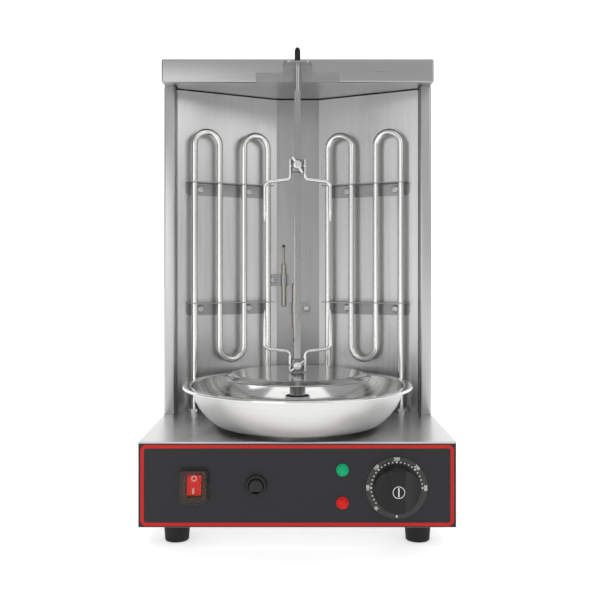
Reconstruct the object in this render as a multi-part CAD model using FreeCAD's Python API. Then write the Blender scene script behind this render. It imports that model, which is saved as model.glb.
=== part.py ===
"""Small vertical electric rotisserie grill, drawn in millimetres.

While drawing, x is to the right, y runs back from the control panel's face and z is up from
the floor. Every piece is moved by the same amount at export, so that the origin ends up at
floor level in the middle of the grill's overall depth.
"""
import FreeCAD, Part
import math
import os

V = FreeCAD.Vector
UP = V(0, 0, 1)
BACK = V(0, 1, 0)
FRONT = V(0, -1, 0)

# ---- base box -------------------------------------------------------------------------------
base_width = 325.0
base_depth = 300.0
base_height = 87.1          # box only, without the bottom plate and the feet
sheet = 1.2                 # stainless sheet of the housings
bend_radius = 2.5
bottom_plate_thickness = 1.5
bottom_plate_inset = 5.0
bottom_flange_width = 14.0
panel_thickness = 1.0
panel_side_margin = 0.5
panel_top_margin = 1.6
panel_bottom_margin = 0.4

# ---- feet -----------------------------------------------------------------------------------
foot_height = 20.0
foot_top_radius = 14.0
foot_bottom_radius = 12.5
foot_inset_side = 35.5
foot_inset_end = 30.0
foot_recess_radius = 5.5
foot_web = 8.0              # rubber between the screw head and the bottom plate

# ---- fasteners and fits ---------------------------------------------------------------------
screw_radius = 2.0
screw_head_radius = 4.5
screw_head_height = 2.6
nut_radius = 4.0
nut_height = 3.0
screw_clearance = 0.2
running_clearance = 0.05    # radial, between a turning shaft and its bore
sliding_clearance = 0.15    # each side, between flat faces that slide
seat_clearance = 0.1        # radial, between a fixed piece and the hole it sits in

# ---- controls, placed from the centre line and down from the deck ---------------------------
switch_x = -105.0
switch_drop = 44.4
switch_bezel_width = 25.0
switch_bezel_height = 31.5
switch_bezel_thickness = 2.2
switch_body_width = 21.4
switch_body_height = 27.8
switch_body_depth = 24.0
rocker_width = 14.0
rocker_height = 20.0
rocker_pivot_depth = 4.0
rocker_pin_radius = 1.5
rocker_pin_reach = 1.9      # beyond each side of the rocker
rocker_cavity_half_height = 11.8
rocker_cavity_depth = 12.5
rocker_half_swing = 10.0    # degrees each side of level
switch_cover_width = 31.0
switch_cover_height = 37.0
switch_cover_depth = 8.6
switch_cover_wall = 1.0
reset_x = -42.0
reset_drop = 44.0
reset_collar_radius = 11.0
reset_collar_height = 4.2
reset_sleeve_radius = 8.8
reset_sleeve_end = 7.0      # behind the panel's face
reset_flange_thickness = 1.5
reset_button_radius = 7.25
reset_button_proud = 9.5
reset_travel = 2.5
lamp_x = 46.2
green_lamp_drop = 28.3
red_lamp_drop = 61.9
lamp_flange_radius = 6.4
lamp_body_radius = 5.0
lamp_body_length = 28.0
dial_x = 101.4
dial_drop = 46.2
dial_ring_radius = 31.75
dial_ring_thickness = 1.4
knob_radius = 23.7
knob_proud = 19.5
knob_base_height = 7.0
knob_bar_width = 13.5
knob_gap = 0.6
knob_shaft_radius = 3.0
shaft_boss_radius = 4.8
thermostat_size = 36.0
thermostat_depth = 22.0

# ---- tower: side walls, back cover, reflectors and roof -------------------------------------
tower_share = 7 / 15        # of the base's depth, from the posts' front faces to the back
tower_height = 399.0        # from the deck to the roof's underside
post_width = 13.5
post_return = 16.0
rear_flange_width = 14.0
reflector_setback = 20.0    # from the posts' front faces to the reflectors' outer edges
reflector_depth = 62.0      # from the outer edges back to the centre reflector
reflector_sheet = 1.0
reflector_flange = 9.0
centre_reflector_width = 55.8
roof_overhang = 20.0        # in front of the posts
roof_height = 28.5
roof_flange_width = 12.0
bracket_flange_width = 99.0
bracket_flange_height = 11.5
bracket_thickness = 1.6
tongue_width = 34.0
tongue_past_spit = 9.5
tongue_corner_radius = 9.0

# ---- heaters and their strips ---------------------------------------------------------------
heater_tube_radius = 4.0
heater_edge_gap = 18.3      # outer leg to the reflector's outer edge, and the same at the inside
heater_standoff = 11.7      # tube centre in front of the reflector
heater_top = 352.0          # above the deck, over the top bends
heater_bottom = 59.5        # above the deck, under the bottom bend
heater_tail = 26.0          # tube below the deck
strip_height = 16.0
strip_flange_depth = 18.5
strip_thickness = 1.0
strip_end_gap = 10.7
strip_hole_clearance = 0.25
upper_strip_top = 285.0     # above the deck
lower_strip_top = 135.0
strip_screw_offset = 11.0   # from the leg beside it
fitting_washer_radius = 8.5
fitting_nut_radius = 7.2

# ---- pan, turntable and drive ---------------------------------------------------------------
pan_rim_radius = 129.0
pan_rim_height = 47.6       # above the deck
pan_lift_gap = 4.5          # pan floor above the deck
pan_sheet = 1.0
pan_flange_width = 9.0      # flat rim round the bowl
pan_edge_drop = 3.0         # height of the rim's turned-down edge
pan_wall_curve = 62.0       # radius of the wall's section
pan_wall_lean = 10.0        # degrees from upright, where the wall meets the rim
pan_tube_radius = 13.0      # inside of the pan's centre tube
pan_tube_top = 34.0
pan_to_heater_gap = 2.0
support_ring_radius = 62.0
support_ring_width = 10.0
turntable_radius = 83.6
turntable_top = 60.0        # above the deck
turntable_edge_drop = 4.0
turntable_band = 10.6
turntable_sheet = 1.5
hub_collar_radius = 14.5
hub_collar_height = 8.5
drive_radius = 9.0
socket_floor = 30.0         # above the deck
bush_flange_radius = 15.0
bush_flange_height = 1.5
bush_wall = 3.0
bush_length = 9.0
motor_drop = 18.0           # from the deck's underside to the bracket plate
motor_bracket_thickness = 2.0
motor_bracket_width = 80.0
motor_bracket_depth = 64.0
gearbox_radius = 29.0
gearbox_height = 22.0
motor_radius = 26.0
motor_height = 30.0
motor_shaft_radius = 4.0

# ---- spit and forks -------------------------------------------------------------------------
spit_side = 7.0
spit_square_top = 378.0     # above the deck
spit_journal_radius = 3.1
spit_tip = 428.0
spit_point = 4.5
spit_end_radius = 1.6
journal_clearance = 0.35
clamp_wall = 2.6
clamp_height = 14.0
clamp_depth = 14.5
upper_clamp_bottom = 286.5  # above the deck
lower_clamp_bottom = 61.5
fork_wire_radius = 2.0
fork_reach = 37.0           # prong centre from the spit's centre
fork_bend = 6.0
upper_arm_height = 277.0    # above the deck
lower_arm_height = 85.5
fork_arm_rise = 3.5         # each arm slopes this much towards the prong's tip
upper_prong_tip = 231.0
lower_prong_tip = 131.0
prong_point = 11.0
clamp_screw_radius = 2.5
clamp_head_radius = 4.5
clamp_head_length = 6.0
clamp_head_gap = 1.5
clamp_bar_radius = 1.5
clamp_bar_length = 22.0
upper_bar_angle = -58.0     # degrees up from level, seen from the front
lower_bar_angle = 38.0

# ---- sensors --------------------------------------------------------------------------------
bulb_radius = 3.0
capillary_radius = 1.0
grommet_radius = capillary_radius + 2.5
bulb_x = -18.5
bulb_bottom = 128.0         # above the deck
bulb_top = 184.0
bulb_exit = 207.0
limit_bulb_x = -4.5
limit_bulb_bottom = 100.0
limit_bulb_top = 158.0
limit_exit = 84.0
capillary_behind = 12.0     # behind the centre reflector's face
clip_height = 15.5
clip_thickness = 0.8
upper_clip_height = 162.5   # clip centres above the deck
lower_clip_height = 125.3
lower_clip_screw_x = 11.5
clip_screw_from_fold = 6.5

# ---- cable inlet ----------------------------------------------------------------------------
gland_x = 110.0
gland_height = 34.0         # above the bottom plate
gland_thread_radius = 8.0
gland_bore_radius = 3.6
gland_flange_radius = 11.0
gland_dome_length = 11.0

# ---- levels and places worked out from the sizes above --------------------------------------
plate_top = foot_height + bottom_plate_thickness
deck = plate_top + base_height
deck_under = deck - sheet
wall_inside = panel_thickness + sheet
roof_bottom = deck + tower_height
roof_top = roof_bottom + roof_height
tower_front = base_depth * (1 - tower_share)
half_width = base_width / 2
post_inside = half_width - post_width
roof_front = tower_front - roof_overhang
centre_face = tower_front + reflector_setback + reflector_depth
half_centre = centre_reflector_width / 2

reflector_run = post_inside - half_centre
reflector_length = math.hypot(reflector_run, reflector_depth)
reflector_angle = math.degrees(math.atan2(reflector_depth, -reflector_run))
heater_pitch = (reflector_length - 2 * heater_edge_gap) / 3
reflector_frame = FreeCAD.Placement(
    V(post_inside, tower_front + reflector_setback, 0), FreeCAD.Rotation(UP, reflector_angle))


def leg_place(number):
    """Plan position of the right heater's leg 0 to 3, counted from the outside."""
    return reflector_frame.multVec(V(heater_edge_gap + number * heater_pitch, heater_standoff, 0))


def spit_depth():
    """The spit stands as far back as the pan's rim can come to the two inner heater legs."""
    reach = pan_rim_radius + heater_tube_radius + pan_to_heater_gap
    places = [leg_place(2), leg_place(3)]
    return min(p.y - math.sqrt(reach ** 2 - p.x ** 2) for p in places)


spit_y = spit_depth()
front_most = min(spit_y - pan_rim_radius, -knob_proud)
rear_most = base_depth + gland_dome_length
middle_y = (front_most + rear_most) / 2
bracket_plate_top = deck_under - motor_drop
gearbox_top = bracket_plate_top - motor_bracket_thickness
drive_top = deck + turntable_top - turntable_sheet - hub_collar_height


# ---- small helpers --------------------------------------------------------------------------
def box(x0, x1, y0, y1, z0, z1):
    return Part.makeBox(x1 - x0, y1 - y0, z1 - z0, V(x0, y0, z0))


def rod(radius, length, start, direction=UP):
    return Part.makeCylinder(radius, length, start, direction)


def tube(outer, inner, length, start, direction=UP):
    return rod(outer, length, start, direction).cut(rod(inner, length, start, direction))


def square_bar(side, z0, z1, x=0.0, y=0.0):
    half = side / 2
    return box(x - half, x + half, y - half, y + half, z0, z1)


def join(shapes):
    return shapes[0].multiFuse(shapes[1:]).removeSplitter()


def group(shapes):
    return Part.makeCompound(shapes)


def mirrored(shape):
    """The same piece on the other side of the centre plane."""
    return shape.mirror(V(0, 0, 0), V(1, 0, 0))


def prism(points, z0, z1):
    """Upright prism on a closed plan outline."""
    wire = Part.makePolygon([V(x, y, z0) for x, y in points + points[:1]])
    return Part.Face(wire).extrude(V(0, 0, z1 - z0))


def folded(path, thickness, z0, z1):
    """Folded sheet standing upright: the plan path is its left face, the metal is on the right."""
    moved = []
    count = len(path)
    for i in range(count):
        here = V(*path[i], 0)
        before = V(*path[max(i - 1, 0)], 0)
        after = V(*path[min(i + 1, count - 1)], 0)
        sides = []
        for start, end in ((before, here), (here, after)):
            if (end - start).Length > 0:
                run = (end - start).normalize()
                sides.append(V(run.y, -run.x, 0))
        middle = sides[0] + sides[-1]
        middle.normalize()
        offset = here + middle * (thickness / middle.dot(sides[0]))
        moved.append((offset.x, offset.y))
    return prism(list(path) + moved[::-1], z0, z1)


def turned(outline, x=0.0, y=0.0):
    """Solid of revolution about the upright line through x, y. Outline edges lie in r, z."""
    face = Part.Face(Part.Wire(outline))
    solid = face.revolve(V(0, 0, 0), UP, 360)
    solid.translate(V(x, y, 0))
    return solid


def turned_points(points, x=0.0, y=0.0):
    corners = [V(r, 0, z) for r, z in points + points[:1]]
    return turned([Part.makeLine(a, b) for a, b in zip(corners, corners[1:])], x, y)


def facing_front(shape, x, z):
    """Puts a piece that was drawn pointing up at the origin onto the panel, pointing forward."""
    shape.Placement = FreeCAD.Placement(V(x, 0, z), FreeCAD.Rotation(V(1, 0, 0), 90))
    return shape


def rounded(shape, radius, wanted):
    """Rounds the edges whose middle point and direction the test accepts."""
    edges = []
    for edge in shape.Edges:
        if not isinstance(edge.Curve, Part.Line):
            continue
        middle = edge.valueAt((edge.FirstParameter + edge.LastParameter) / 2)
        if wanted(middle, edge.tangentAt(edge.FirstParameter)):
            edges.append(edge)
    return shape.makeFillet(radius, edges)


def pipe(points, radius, bend):
    """Round bar along straight runs joined by tangent arcs."""
    points = [V(*p) for p in points]
    edges = []
    at = points[0]
    for here, after in zip(points[1:-1], points[2:]):
        come = (here - at).normalize()
        leave = (after - here).normalize()
        turn = come.getAngle(leave)
        tangent = bend * math.tan(turn / 2)
        start = here - come * tangent
        end = here + leave * tangent
        inward = (leave - come).normalize()
        middle = here + inward * (bend / math.cos(turn / 2) - bend)
        edges.append(Part.makeLine(at, start))
        edges.append(Part.Arc(start, middle, end).toShape())
        at = end
    edges.append(Part.makeLine(at, points[-1]))
    return swept(edges, radius)


def swept(edges, radius):
    start = edges[0].firstVertex().Point
    direction = edges[0].tangentAt(edges[0].FirstParameter)
    circle = Part.Wire(Part.makeCircle(radius, start, direction))
    return Part.Wire(edges).makePipeShell([circle], True, True)


def pan_screw(place, head_direction, length, shank=screw_radius, head=screw_head_radius,
              height=screw_head_height):
    """Cross-recessed pan-head screw with the underside of its head at the given place."""
    cap = rod(head, height, V(0, 0, 0))
    cap = cap.makeFillet(height * 0.6, [e for e in cap.Edges if e.CenterOfMass.z > height * 0.9
                                        and len(e.Vertexes) == 1])
    slot_depth = height * 0.55
    slot_half = head * 0.55
    slot_side = head * 0.13
    cross = join([box(-slot_half, slot_half, -slot_side, slot_side, height - slot_depth, height),
                  box(-slot_side, slot_side, -slot_half, slot_half, height - slot_depth, height)])
    body = join([cap, rod(shank, length, V(0, 0, -length))]).cut(cross)
    body.Placement = FreeCAD.Placement(place, FreeCAD.Rotation(UP, head_direction))
    return body


def nut(place, direction, radius=nut_radius, height=nut_height, bore=screw_radius):
    """Hexagon nut standing on the given place."""
    corners = [(radius * math.cos(math.radians(60 * i)), radius * math.sin(math.radians(60 * i)))
               for i in range(6)]
    body = prism(corners, 0, height).cut(rod(bore, height, V(0, 0, 0)))
    body.Placement = FreeCAD.Placement(place, FreeCAD.Rotation(UP, direction))
    return body


def on_reflector(shape):
    """Moves a piece drawn on the right reflector (x inwards, y forwards) to its place."""
    shape.Placement = reflector_frame.multiply(shape.Placement)
    return shape


# ---- base -----------------------------------------------------------------------------------
def foot_places():
    return [(sx * (half_width - foot_inset_side), y) for sx in (-1, 1)
            for y in (foot_inset_end, base_depth - foot_inset_end)]


def plate_screw_places():
    x = half_width - (bottom_plate_inset + bottom_flange_width) / 2
    inset = foot_inset_end - 12
    return [(sx * x, y) for sx in (-1, 1) for y in (inset, base_depth / 2, base_depth - inset)]


def control_height(drop):
    return deck - drop


def across_rounded(shape, radius):
    """Rounds the two upper edges that run across the base."""
    return rounded(shape, radius, lambda m, d: abs(d.x) > 0.9 and m.z > plate_top + 1)


def make_base_housing():
    """Front wall, deck and back wall, folded from one sheet."""
    outer = box(-half_width, half_width, panel_thickness, base_depth, plate_top, deck)
    inner = box(-half_width, half_width, wall_inside, base_depth - sheet, plate_top, deck_under)
    shell = across_rounded(outer, bend_radius).cut(across_rounded(inner, bend_radius - sheet))
    through = 3 * sheet
    holes = [rod(drive_radius + bush_wall + seat_clearance, through,
                 V(0, spit_y, deck - 2 * sheet))]
    for number in (0, 3):
        place = leg_place(number)
        for side in (-1, 1):
            holes.append(rod(heater_tube_radius + seat_clearance, through,
                             V(side * place.x, place.y, deck - 2 * sheet)))
    for x in (bulb_x, limit_bulb_x):
        holes.append(rod(grommet_radius + seat_clearance, through,
                         V(x, centre_face + capillary_behind, deck - 2 * sheet)))
    holes += panel_cutouts(wall_inside + 1)
    holes.append(rod(gland_thread_radius + seat_clearance, through,
                     V(gland_x, base_depth - 2 * sheet, plate_top + gland_height), BACK))
    return shell.cut(group(holes))


def make_base_side():
    """Right side sheet between the front and back walls, with the bottom plate's flange."""
    inside = half_width - sheet
    rear = base_depth - sheet
    wall = box(inside, half_width, wall_inside, rear, plate_top, deck_under)
    flange = box(inside - bottom_flange_width, inside, wall_inside, rear, plate_top,
                 plate_top + sheet)
    holes = [rod(screw_radius, 3 * sheet, V(x, y, plate_top - sheet))
             for x, y in plate_screw_places() if x > 0]
    return join([across_rounded(wall, bend_radius - sheet), flange]).cut(group(holes))


def panel_cutouts(depth):
    """Openings for the controls, from in front of the panel to the given depth."""
    z = control_height(switch_drop)
    half_w = switch_body_width / 2 + seat_clearance
    half_h = switch_body_height / 2 + seat_clearance
    start = -1.0
    cuts = [box(switch_x - half_w, switch_x + half_w, start, depth, z - half_h, z + half_h)]
    for x, drop, radius in ((reset_x, reset_drop, reset_sleeve_radius),
                            (lamp_x, green_lamp_drop, lamp_body_radius),
                            (lamp_x, red_lamp_drop, lamp_body_radius),
                            (dial_x, dial_drop, shaft_boss_radius)):
        cuts.append(rod(radius + seat_clearance, depth - start,
                        V(x, start, control_height(drop)), BACK))
    return cuts


def make_bottom_plate():
    inset = bottom_plate_inset
    plate = box(-half_width + inset, half_width - inset, panel_thickness + inset,
                base_depth - inset, foot_height, plate_top)
    holes = [rod(screw_radius + screw_clearance, 3 * bottom_plate_thickness,
                 V(x, y, foot_height - bottom_plate_thickness))
             for x, y in foot_places() + plate_screw_places()]
    return plate.cut(group(holes))


def make_bottom_plate_screws():
    return group([pan_screw(V(x, y, foot_height), V(0, 0, -1), 6.0, height=2.0)
                  for x, y in plate_screw_places()])


def make_rubber_feet():
    web = foot_height - foot_web
    feet = [turned_points([(foot_recess_radius, 0), (foot_bottom_radius, 0),
                           (foot_top_radius, foot_height), (screw_radius + screw_clearance, foot_height),
                           (screw_radius + screw_clearance, web), (foot_recess_radius, web)], x, y)
            for x, y in foot_places()]
    return group(feet)


def make_foot_screws():
    pieces = []
    web = foot_height - foot_web
    for x, y in foot_places():
        pieces.append(pan_screw(V(x, y, web), V(0, 0, -1), plate_top - web + nut_height + 1.5))
        pieces.append(nut(V(x, y, plate_top), UP))
    return group(pieces)


def make_front_panel():
    panel = box(-half_width + panel_side_margin, half_width - panel_side_margin, 0,
                panel_thickness, plate_top + panel_bottom_margin, deck - panel_top_margin)
    return panel.cut(group(panel_cutouts(panel_thickness + 1)))


# ---- controls -------------------------------------------------------------------------------
def make_switch_housing():
    z = control_height(switch_drop)
    half_w = switch_bezel_width / 2
    half_h = switch_bezel_height / 2
    bezel = box(switch_x - half_w, switch_x + half_w, -switch_bezel_thickness, 0,
                z - half_h, z + half_h)
    bezel = rounded(bezel, 1.6, lambda m, d: abs(d.y) > 0.9)
    half_w = switch_body_width / 2
    half_h = switch_body_height / 2
    body = box(switch_x - half_w, switch_x + half_w, 0, switch_body_depth, z - half_h, z + half_h)
    half_slot = rocker_width / 2 + 0.4
    cavity = box(switch_x - half_slot, switch_x + half_slot, -switch_bezel_thickness,
                 rocker_cavity_depth, z - rocker_cavity_half_height, z + rocker_cavity_half_height)
    pin_length = rocker_width + 2 * rocker_pin_reach + 0.4
    bore = rod(rocker_pin_radius + running_clearance, pin_length,
               V(switch_x - pin_length / 2, rocker_pivot_depth, z), V(1, 0, 0))
    tabs = [box(switch_x + dx - 0.4, switch_x + dx + 0.4, switch_body_depth,
                switch_body_depth + 8, z + dz - 3.1, z + dz + 3.1)
            for dx in (-5, 5) for dz in (-7, 7)]
    return join([bezel, body] + tabs).cut(group([cavity, bore]))


def make_rocker():
    """Shallow V front face, drawn level about its pivot and then tipped to 'off'."""
    half = rocker_height / 2
    deep = 3.5
    profile = [(-7.6, half), (-5.6, 0), (-7.6, -half), (-2.5, -half), (deep, -half * 0.4),
               (deep, half * 0.4), (-2.5, half)]
    corners = [V(-rocker_width / 2, y, z) for y, z in profile + profile[:1]]
    body = Part.Face(Part.makePolygon(corners)).extrude(V(rocker_width, 0, 0))
    pin = rod(rocker_pin_radius, rocker_width + 2 * rocker_pin_reach,
              V(-rocker_width / 2 - rocker_pin_reach, 0, 0), V(1, 0, 0))
    rocker = join([body, pin])
    rocker.rotate(V(0, 0, 0), V(1, 0, 0), -rocker_half_swing)
    rocker.translate(V(switch_x, rocker_pivot_depth, control_height(switch_drop)))
    return rocker


def make_switch_cover():
    """Clear splash cover: a flat frame round the bezel with a raised box over the rocker."""
    z = control_height(switch_drop)
    wall = switch_cover_wall

    def plate(width, height, y0, y1, radius):
        block = box(switch_x - width / 2, switch_x + width / 2, y0, y1, z - height / 2,
                    z + height / 2)
        return rounded(block, radius, lambda m, d: abs(d.y) > 0.9)

    frame = plate(switch_cover_width, switch_cover_height, -wall, 0, 4.0)
    dome = plate(switch_cover_width - 2.4, switch_cover_height - 2.4, -switch_cover_depth,
                 -wall, 3.6)
    inside = plate(switch_cover_width - 2.4 - 2 * wall, switch_cover_height - 2.4 - 2 * wall,
                   -switch_cover_depth + wall, 0, 2.6)
    return join([frame, dome]).cut(inside)


def make_lens(drop):
    flange = 1.4
    dome = 2.4
    radius = lamp_flange_radius - 0.9
    top = V(0, 0, flange + dome)
    shoulder = V(radius, 0, flange)
    sphere = (radius ** 2 + dome ** 2) / (2 * dome)
    angle = math.asin(radius / sphere) / 2
    middle = V(sphere * math.sin(angle), 0, flange + dome - sphere * (1 - math.cos(angle)))
    corners = [V(0, 0, 0), V(lamp_flange_radius, 0, 0), V(lamp_flange_radius, 0, flange), shoulder]
    outline = [Part.makeLine(a, b) for a, b in zip(corners, corners[1:])]
    outline += [Part.Arc(shoulder, middle, top).toShape(), Part.makeLine(top, corners[0])]
    return facing_front(turned(outline), lamp_x, control_height(drop))


def make_lamp_bodies():
    lamps = []
    for drop in (green_lamp_drop, red_lamp_drop):
        z = control_height(drop)
        lamps.append(join([rod(lamp_body_radius, lamp_body_length, V(lamp_x, 0, z), BACK),
                           rod(lamp_body_radius + 2.5, 3.0, V(lamp_x, wall_inside, z), BACK)]))
    return group(lamps)


def make_reset_collar():
    z = control_height(reset_drop)
    height = reset_collar_height
    collar = rod(reset_collar_radius, height, V(reset_x, -height, z), BACK)
    collar = collar.makeFillet(1.0, [e for e in collar.Edges if e.CenterOfMass.y < -height + 0.1
                                     and len(e.Vertexes) == 1])
    sleeve = rod(reset_sleeve_radius, reset_sleeve_end, V(reset_x, 0, z), BACK)
    bore = rod(reset_button_radius + seat_clearance, height + reset_sleeve_end,
               V(reset_x, -height, z), BACK)
    return join([collar, sleeve]).cut(bore)


def make_reset_button():
    z = control_height(reset_drop)
    length = reset_button_proud + reset_sleeve_end + 0.2
    button = rod(reset_button_radius, length, V(reset_x, -reset_button_proud, z), BACK)
    button = button.makeFillet(1.6, [e for e in button.Edges
                                     if e.CenterOfMass.y < -reset_button_proud + 0.1
                                     and len(e.Vertexes) == 1])
    flange_y = reset_sleeve_end + 0.2
    flange = rod(reset_button_radius + 0.9, reset_flange_thickness, V(reset_x, flange_y, z), BACK)
    stem = rod(2.0, 4.0, V(reset_x, flange_y + reset_flange_thickness, z), BACK)
    return join([button, flange, stem])


def limit_switch_front():
    return reset_sleeve_end + 0.2 + reset_flange_thickness + 4.0 + reset_travel + 0.4


def make_high_limit_switch():
    z = control_height(reset_drop)
    front = limit_switch_front()
    body = rod(17.0, 24.0, V(reset_x, front + 2, z), BACK)
    plate = box(reset_x - 26, reset_x + 26, front, front + 2, z - 10, z + 10)
    posts = [rod(3.0, front - wall_inside, V(reset_x + dx, wall_inside, z), BACK)
             for dx in (-21, 21)]
    tabs = [box(reset_x + dx - 3, reset_x + dx + 3, front + 26, front + 34, z + 9.6, z + 10.4)
            for dx in (-7, 7)]
    return join([body, plate] + posts + tabs)


def make_dial_ring():
    ring = rod(dial_ring_radius, dial_ring_thickness, V(0, 0, 0))
    ring = ring.makeChamfer(0.6, [e for e in ring.Edges if e.CenterOfMass.z > 1
                                  and len(e.Vertexes) == 1])
    ring = ring.cut(rod(shaft_boss_radius + seat_clearance, dial_ring_thickness, V(0, 0, 0)))
    return facing_front(ring, dial_x, control_height(dial_drop))


def make_control_knob():
    back = dial_ring_thickness + knob_gap
    top = back + knob_base_height
    skirt = rod(knob_radius, knob_base_height, V(0, 0, back))
    skirt = skirt.makeFillet(1.8, [e for e in skirt.Edges if e.CenterOfMass.z > top - 0.1
                                   and len(e.Vertexes) == 1])
    bar_length = knob_radius * 0.93
    bar = box(-knob_bar_width / 2, knob_bar_width / 2, -bar_length, bar_length, top - 0.5,
              knob_proud)
    bar = rounded(bar, 5.0, lambda m, d: abs(d.z) > 0.9)
    bar = bar.makeFillet(1.5, [e for e in bar.Edges if e.CenterOfMass.z > knob_proud - 0.01])
    bore = rod(knob_shaft_radius + 0.02, 12.2, V(0, 0, back))
    return facing_front(join([skirt, bar]).cut(bore), dial_x, control_height(dial_drop))


def make_thermostat_shaft():
    z = control_height(dial_drop)
    front = -(dial_ring_thickness + knob_gap + 12.0)
    return rod(knob_shaft_radius, wall_inside + 10 - front, V(dial_x, front, z), BACK)


def make_thermostat_body():
    z = control_height(dial_drop)
    half = thermostat_size / 2
    body = box(dial_x - half, dial_x + half, wall_inside, wall_inside + thermostat_depth,
               z - half, z + half)
    body = rounded(body, 3.0, lambda m, d: abs(d.y) > 0.9)
    boss = rod(shaft_boss_radius, wall_inside, V(dial_x, 0, z), BACK)
    rear = wall_inside + thermostat_depth
    tabs = [box(dial_x + dx - 3, dial_x + dx + 3, rear, rear + 8, z - 12.4, z - 11.6)
            for dx in (-10, 10)]
    bore = rod(knob_shaft_radius + running_clearance, wall_inside + 10.3, V(dial_x, 0, z), BACK)
    return join([body, boss] + tabs).cut(bore)


# ---- drive ----------------------------------------------------------------------------------
def make_motor_bracket():
    half_w = motor_bracket_width / 2
    half_d = motor_bracket_depth / 2
    low = gearbox_top
    thick = motor_bracket_thickness
    pieces = [box(-half_w, half_w, spit_y - half_d, spit_y + half_d, low, low + thick)]
    for side in (-1, 1):
        x0, x1 = sorted((side * (half_w - thick), side * half_w))
        pieces.append(box(x0, x1, spit_y - half_d, spit_y + half_d, low, deck_under))
        x0, x1 = sorted((side * (half_w - thick), side * (half_w + 12)))
        pieces.append(box(x0, x1, spit_y - half_d, spit_y + half_d, deck_under - thick, deck_under))
    holes = [rod(drive_radius + bush_wall, 3 * thick, V(0, spit_y, low - thick))]
    holes += [rod(screw_radius, 3 * thick, V(x, spit_y, low - thick)) for x in motor_screw_x()]
    return join(pieces).cut(group(holes))


def motor_screw_x():
    return (-(drive_radius + bush_wall + 7.0), drive_radius + bush_wall + 7.0)


def make_motor_screws():
    return group([pan_screw(V(x, spit_y, bracket_plate_top), UP, 8.0) for x in motor_screw_x()])


def make_gear_motor():
    gearbox = rod(gearbox_radius, gearbox_height, V(0, spit_y, gearbox_top - gearbox_height))
    can = rod(motor_radius, motor_height, V(0, spit_y, gearbox_top - gearbox_height - motor_height))
    boss = rod(drive_radius, motor_bracket_thickness, V(0, spit_y, gearbox_top))
    bore = rod(motor_shaft_radius + running_clearance, 14.0 + motor_bracket_thickness,
               V(0, spit_y, gearbox_top - 14.0))
    screws = [rod(screw_radius, 8.0, V(x, spit_y, bracket_plate_top - 8.0))
              for x in motor_screw_x()]
    return join([gearbox, can, boss]).cut(group([bore] + screws))


def drive_bottom():
    return bracket_plate_top + 2.0


def make_motor_shaft():
    start = gearbox_top - 13.5
    return rod(motor_shaft_radius, drive_bottom() + 22.0 - start, V(0, spit_y, start))


def make_drive_shaft():
    shaft = rod(drive_radius, drive_top - drive_bottom(), V(0, spit_y, drive_bottom()))
    lower = rod(motor_shaft_radius + 0.02, 22.0, V(0, spit_y, drive_bottom()))
    socket = square_bar(spit_side + 2 * sliding_clearance, deck + socket_floor, drive_top, 0,
                        spit_y)
    return shaft.cut(group([lower, socket]))


def make_drive_bush():
    outer = drive_radius + bush_wall
    flange = rod(bush_flange_radius, bush_flange_height, V(0, spit_y, deck))
    barrel = rod(outer, bush_length, V(0, spit_y, deck - bush_length))
    bore = rod(drive_radius + running_clearance, bush_length + bush_flange_height,
               V(0, spit_y, deck - bush_length))
    return join([flange, barrel]).cut(bore)


def make_turntable():
    top = deck + turntable_top
    flat = turntable_radius - turntable_band
    t = turntable_sheet
    edge = top - turntable_edge_drop
    disc = turned_points([(0, top), (flat, top), (turntable_radius, edge),
                          (turntable_radius, edge - t), (flat - 0.5, top - t),
                          (hub_collar_radius, top - t), (hub_collar_radius, drive_top),
                          (0, drive_top)], 0, spit_y)
    hole = square_bar(spit_side + 2 * sliding_clearance, drive_top, top, 0, spit_y)
    return disc.cut(hole)


def make_pan_support_ring():
    return tube(support_ring_radius, support_ring_radius - support_ring_width, pan_lift_gap,
                V(0, spit_y, deck))


def make_drip_pan():
    """Bowl with a rounded wall, a flat rim with its edge turned down, and a centre tube."""
    t = pan_sheet
    floor = deck + pan_lift_gap
    rim = deck + pan_rim_height
    lean = math.radians(pan_wall_lean)
    centre_r = pan_rim_radius - pan_flange_width - pan_wall_curve * math.cos(lean)
    centre_z = rim - t + pan_wall_curve * math.sin(lean)

    def on_wall(curve, z):
        return V(centre_r + math.sqrt(curve ** 2 - (centre_z - z) ** 2), 0, z)

    inside = pan_wall_curve - t
    middle = (floor + rim) / 2
    tube_top = deck + pan_tube_top
    edge_bottom = rim - pan_edge_drop
    a = V(pan_tube_radius, 0, floor)
    b = V(pan_tube_radius, 0, tube_top)
    c = V(pan_tube_radius + t, 0, tube_top)
    d = V(pan_tube_radius + t, 0, floor + t)
    e = on_wall(inside, floor + t)
    f = on_wall(inside, rim)
    g = V(pan_rim_radius, 0, rim)
    h = V(pan_rim_radius, 0, edge_bottom)
    i = V(pan_rim_radius - t, 0, edge_bottom)
    j = V(pan_rim_radius - t, 0, rim - t)
    k = on_wall(pan_wall_curve, rim - t)
    l = on_wall(pan_wall_curve, floor)
    outline = [Part.makeLine(a, b), Part.makeLine(b, c), Part.makeLine(c, d), Part.makeLine(d, e),
               Part.Arc(e, on_wall(inside, middle), f).toShape(), Part.makeLine(f, g),
               Part.makeLine(g, h), Part.makeLine(h, i), Part.makeLine(i, j),
               Part.makeLine(j, k), Part.Arc(k, on_wall(pan_wall_curve, middle), l).toShape(),
               Part.makeLine(l, a)]
    return turned(outline, 0, spit_y)


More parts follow.
